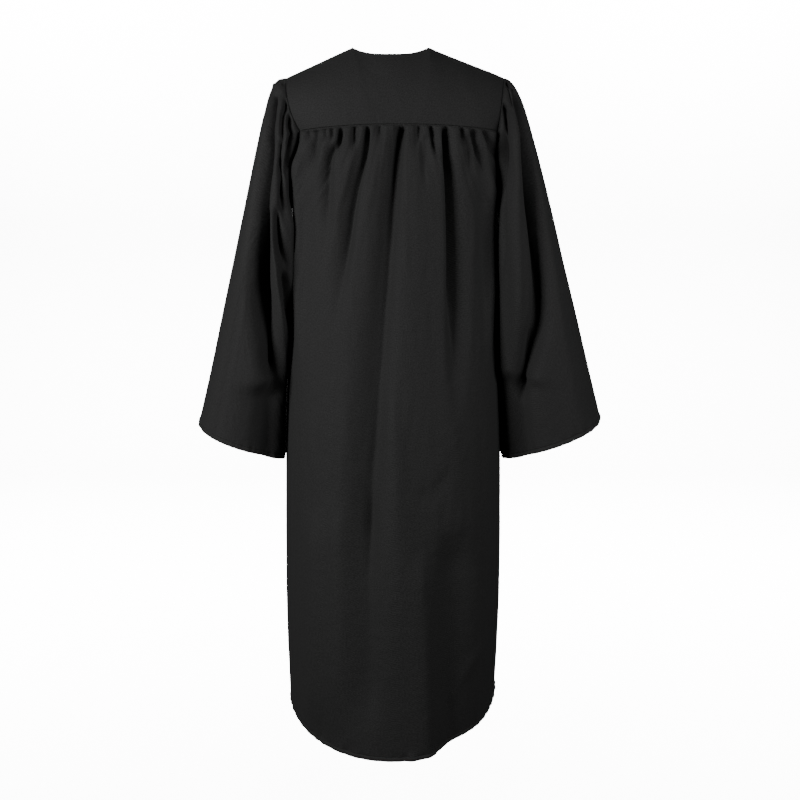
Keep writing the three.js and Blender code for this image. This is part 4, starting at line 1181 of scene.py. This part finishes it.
def add_panel(cut, node, prefix, surface, yoke_points):
    """One gathered panel, with its hem's inner layer and the turned edges of its yoke seam."""
    points, outward = surface
    panel = add_cloth(cut, f"{node}_cloth", points, outward, (node,))
    edges = seam_allowance(yoke_points, points, outward)
    turned = [add_cloth(cut, f"{prefix}_seam_allowance", edges, outward),
              add_cloth(cut, f"{prefix}_hem_turning", hem_turning(points, outward), -outward)]
    return panel, turned


class ROBE_OT_add_yokes(bpy.types.Operator):
    """Adds the back yoke and the two front yokes"""
    bl_idname = "robe.add_yokes"
    bl_label = "Add Yokes"

    def execute(self, context):
        cut = context.scene.choir_robe
        yoke = add_cloth(cut, "back_yoke_cloth", *back_yoke_surface(), ("back_yoke",))
        for name, side in SIDES.items():
            node = f"front_yoke_{name}"
            yoke = add_cloth(cut, f"{node}_cloth", *front_yoke_surface(side), (node,))
        return {"FINISHED"}


class ROBE_OT_add_back_panel(bpy.types.Operator):
    """Adds the gathered back panel, with its hem and the turned edges of its yoke seam"""
    bl_idname = "robe.add_back_panel"
    bl_label = "Add Back Panel"

    def execute(self, context):
        cut = context.scene.choir_robe
        surface = shared(back_panel_surface, cut.fold_depth)
        panel, turned = add_panel(cut, "back_panel", "back", surface, back_yoke_surface()[0])
        return {"FINISHED"}


class ROBE_OT_add_front_panels(bpy.types.Operator):
    """Adds the two gathered front panels, with their hems and the turned edges of their seams"""
    bl_idname = "robe.add_front_panels"
    bl_label = "Add Front Panels"

    def execute(self, context):
        cut = context.scene.choir_robe
        for name, side in SIDES.items():
            surface = shared(front_panel_surface, name, cut.fold_depth)
            yoke_points = front_yoke_surface(side)[0]
            panel, turned = add_panel(cut, f"front_panel_{name}", f"front_{name}", surface, yoke_points)
            if name == "left":
                turned.append(add_cloth(cut, "front_centre_seam_allowance", centre_seam_points(), -1.0))
        return {"FINISHED"}


class ROBE_OT_add_sleeves(bpy.types.Operator):
    """Adds the two bell sleeves, with their cuff hems and the turned edges of the armhole seams"""
    bl_idname = "robe.add_sleeves"
    bl_label = "Add Sleeves"

    def execute(self, context):
        cut = context.scene.choir_robe
        for name, side in SIDES.items():
            points, outward = shared(sleeve_surface, name, cut.fold_depth)
            nodes = (f"sleeve_{name}_upper", f"sleeve_{name}_bell")
            sleeve = add_cloth(cut, f"sleeve_{name}_cloth", points, outward, nodes, True)
            edges = armhole_allowance(side)
            facing = outward_of(edges, grid_normals(edges, True))
            cuff = hem_turning(points, outward, True)
            turned = [add_cloth(cut, f"armhole_{name}_seam_allowance", edges, facing, ring=True),
                      add_cloth(cut, f"cuff_{name}_hem_turning", cuff, -outward, ring=True)]
        return {"FINISHED"}


class ROBE_OT_add_zip(bpy.types.Operator):
    """Adds the zip's tapes, coil and stops, and enamels its slider and pull tab"""
    bl_idname = "robe.add_zip"
    bl_label = "Add Zip"

    def execute(self, context):
        cut = context.scene.choir_robe
        for name, side in SIDES.items():
            points = tape_points(side)
            outward = outward_of(points, grid_normals(points))
            tape = grid_piece(f"zip_tape_{name}_woven", points, outward)
            give_wall(tape, cut.tape_thickness)
            finish_piece(tape, shared(zip_tape_weave), (f"zip_tape_{name}",))
        teeth = beads(teeth_runs(), COIL["pitch"], COIL["width"], COIL["wire"], turned=True)
        coil = new_piece("zip_coil", *teeth)
        finish_piece(coil, shared(coil_nylon))
        stops = new_piece("zip_stops", *zip_stops(), smooth_faces=False)
        finish_piece(stops, shared(enamelled_zinc))
        for name in ("zip_slider", "pull_tab"):
            for place in frame["nodes"][name].material_slots:
                place.material = shared(enamelled_zinc)
        return {"FINISHED"}


class ROBE_OT_add_stitches(bpy.types.Operator):
    """Adds the sewing thread along the hem, the cuffs and the zip"""
    bl_idname = "robe.add_stitches"
    bl_label = "Add Stitches"

    def execute(self, context):
        cut = context.scene.choir_robe
        pitch = cut.stitch_pitch / MM
        lines = {"hem_stitches": hem_stitch_runs(cut.fold_depth), "zip_stitches": zip_stitch_runs()}
        for name, runs in lines.items():
            thread = new_piece(name, *beads(runs, pitch, pitch * 0.8, cut.thread_thickness / MM))
            finish_piece(thread, shared(sewing_thread))
        return {"FINISHED"}


class ROBE_OT_add_stage(bpy.types.Operator):
    """Adds the floor, backdrop, soft lights and camera"""
    bl_idname = "robe.add_stage"
    bl_label = "Add Stage"

    def execute(self, context):
        stage = context.scene.robe_stage
        floor_z = CAD_LOW[2] - stage.floor_gap
        board = add_sweep(floor_z)
        board.data.materials.append(studio_board(tuple(stage.board_colour)))
        board.visible_diffuse = False
        board.visible_glossy = False
        add_area_light("Key", (1.72, 1.44, 0.08), (0, 0, -0.4), 0.9, stage.key_power)
        add_area_light("Fill", (-1.8, 1.44, 0.08), (0, 0, -0.4), 0.9, stage.fill_power)
        far = add_area_light("Far Side", (-0.5, -2.3, 0.3), (0, 0, -0.5), 0.8, stage.far_power)
        far.visible_camera = False
        only_board = bpy.data.collections.new("Lit By Backdrop Lights")
        only_board.objects.link(board)
        for name, side in SIDES.items():
            place = (side["sign"] * 2.2, -0.6, 1.6)
            light = add_area_light(f"Backdrop {name}", place, (0, -2.6, -0.9), 1.4, stage.backdrop_power)
            light.light_linking.receiver_collection = only_board
            light.light_linking.blocker_collection = only_board
        context.scene.world = pale_world()
        camera = bpy.data.objects.new("Camera", bpy.data.cameras.new("Camera"))
        camera.data.lens = CAMERA["lens"]
        camera.data.sensor_width = 36
        camera.location = CAMERA["place"]
        camera.rotation_euler = (math.radians(90 - CAMERA["down"]), 0, math.pi)
        context.scene.collection.objects.link(camera)
        context.scene.camera = camera
        return {"FINISHED"}


# Stage sizes in metres: the camera, and the board's near edge, bend, top and half width.
CAMERA = {"lens": 46.44, "place": (-0.0097, 2.0, -0.24), "down": 12}
SWEEP = {"near": 3.5, "bend": -2.2, "radius": 1.0, "steps": 12, "top": 3.2, "half": 4.0}
WHITE = (1, 1, 1, 1)


def add_sweep(floor_z):
    """A floor that curves up into a backdrop behind the robe."""
    profile = [(SWEEP["near"], floor_z), (SWEEP["bend"], floor_z)]
    for step in range(1, SWEEP["steps"] + 1):
        turn = step / SWEEP["steps"] * QUARTER
        rise = SWEEP["radius"] * (1 - math.cos(turn))
        profile.append((SWEEP["bend"] - SWEEP["radius"] * math.sin(turn), floor_z + rise))
    profile.append((SWEEP["bend"] - SWEEP["radius"], SWEEP["top"]))
    verts = [(x / MM, y / MM, z / MM) for y, z in profile for x in (SWEEP["half"], -SWEEP["half"])]
    faces = [(2 * i, 2 * i + 1, 2 * i + 3, 2 * i + 2) for i in range(len(profile) - 1)]
    return new_piece("studio_sweep", verts, faces)


def pale_world():
    """A surround that looks pale behind the stage and lights the cloth only faintly."""
    world = bpy.data.worlds.new("Soft Studio")
    world.use_nodes = True
    glow = wire(world, world.node_tree.nodes["Background"], {"Color": WHITE, "Strength": 0.01})
    seen = add_node(world, "ShaderNodeBackground", {"Color": WHITE, "Strength": 9})
    rays = add_node(world, "ShaderNodeLightPath")
    either = add_node(world, "ShaderNodeMixShader", (),
                      [(0, rays, "Is Camera Ray"), (1, glow, 0), (2, seen, 0)])
    wire(world, world.node_tree.nodes["World Output"], (), [("Surface", either, 0)])
    return world


def add_area_light(name, place, aim, size, power):
    data = bpy.data.lights.new(name, "AREA")
    data.shape = "SQUARE"
    data.size = size
    data.energy = power
    light = bpy.data.objects.new(name, data)
    light.location = place
    offset = np.array(aim, float) - np.array(place, float)
    tilt = math.atan2(math.hypot(offset[0], offset[1]), -offset[2])
    light.rotation_euler = (tilt, 0, math.atan2(offset[1], offset[0]) - QUARTER)
    bpy.context.scene.collection.objects.link(light)
    return light


class ROBE_PT_panel(bpy.types.Panel):
    """Lists the robe's pieces and their settings"""
    bl_label = "Choir Robe"
    bl_idname = "ROBE_PT_panel"
    bl_space_type = "VIEW_3D"
    bl_region_type = "UI"
    bl_category = "Choir Robe"

    def draw(self, context):
        for settings in (context.scene.choir_robe, context.scene.robe_stage):
            for name in settings.__annotations__:
                self.layout.prop(settings, name)
        for step in STEPS:
            self.layout.operator(step.bl_idname)


STEPS = (ROBE_OT_add_yokes, ROBE_OT_add_back_panel, ROBE_OT_add_front_panels, ROBE_OT_add_sleeves,
         ROBE_OT_add_zip, ROBE_OT_add_stitches, ROBE_OT_add_stage)
CLASSES = (ChoirRobeSettings, RobeStageSettings) + STEPS + (ROBE_PT_panel,)


def register():
    """Registers the settings, operators and panel."""
    for item in CLASSES:
        bpy.utils.register_class(item)
    bpy.types.Scene.choir_robe = PointerProperty(type=ChoirRobeSettings)
    bpy.types.Scene.robe_stage = PointerProperty(type=RobeStageSettings)


def unregister():
    del bpy.types.Scene.robe_stage
    del bpy.types.Scene.choir_robe
    for item in reversed(CLASSES):
        bpy.utils.unregister_class(item)


def main():
    register()
    bpy.ops.robe.add_yokes()
    bpy.ops.robe.add_back_panel()
    bpy.ops.robe.add_front_panels()
    bpy.ops.robe.add_sleeves()
    bpy.ops.robe.add_zip()
    bpy.ops.robe.add_stitches()
    bpy.ops.robe.add_stage()


if __name__ == "__main__":
    main()
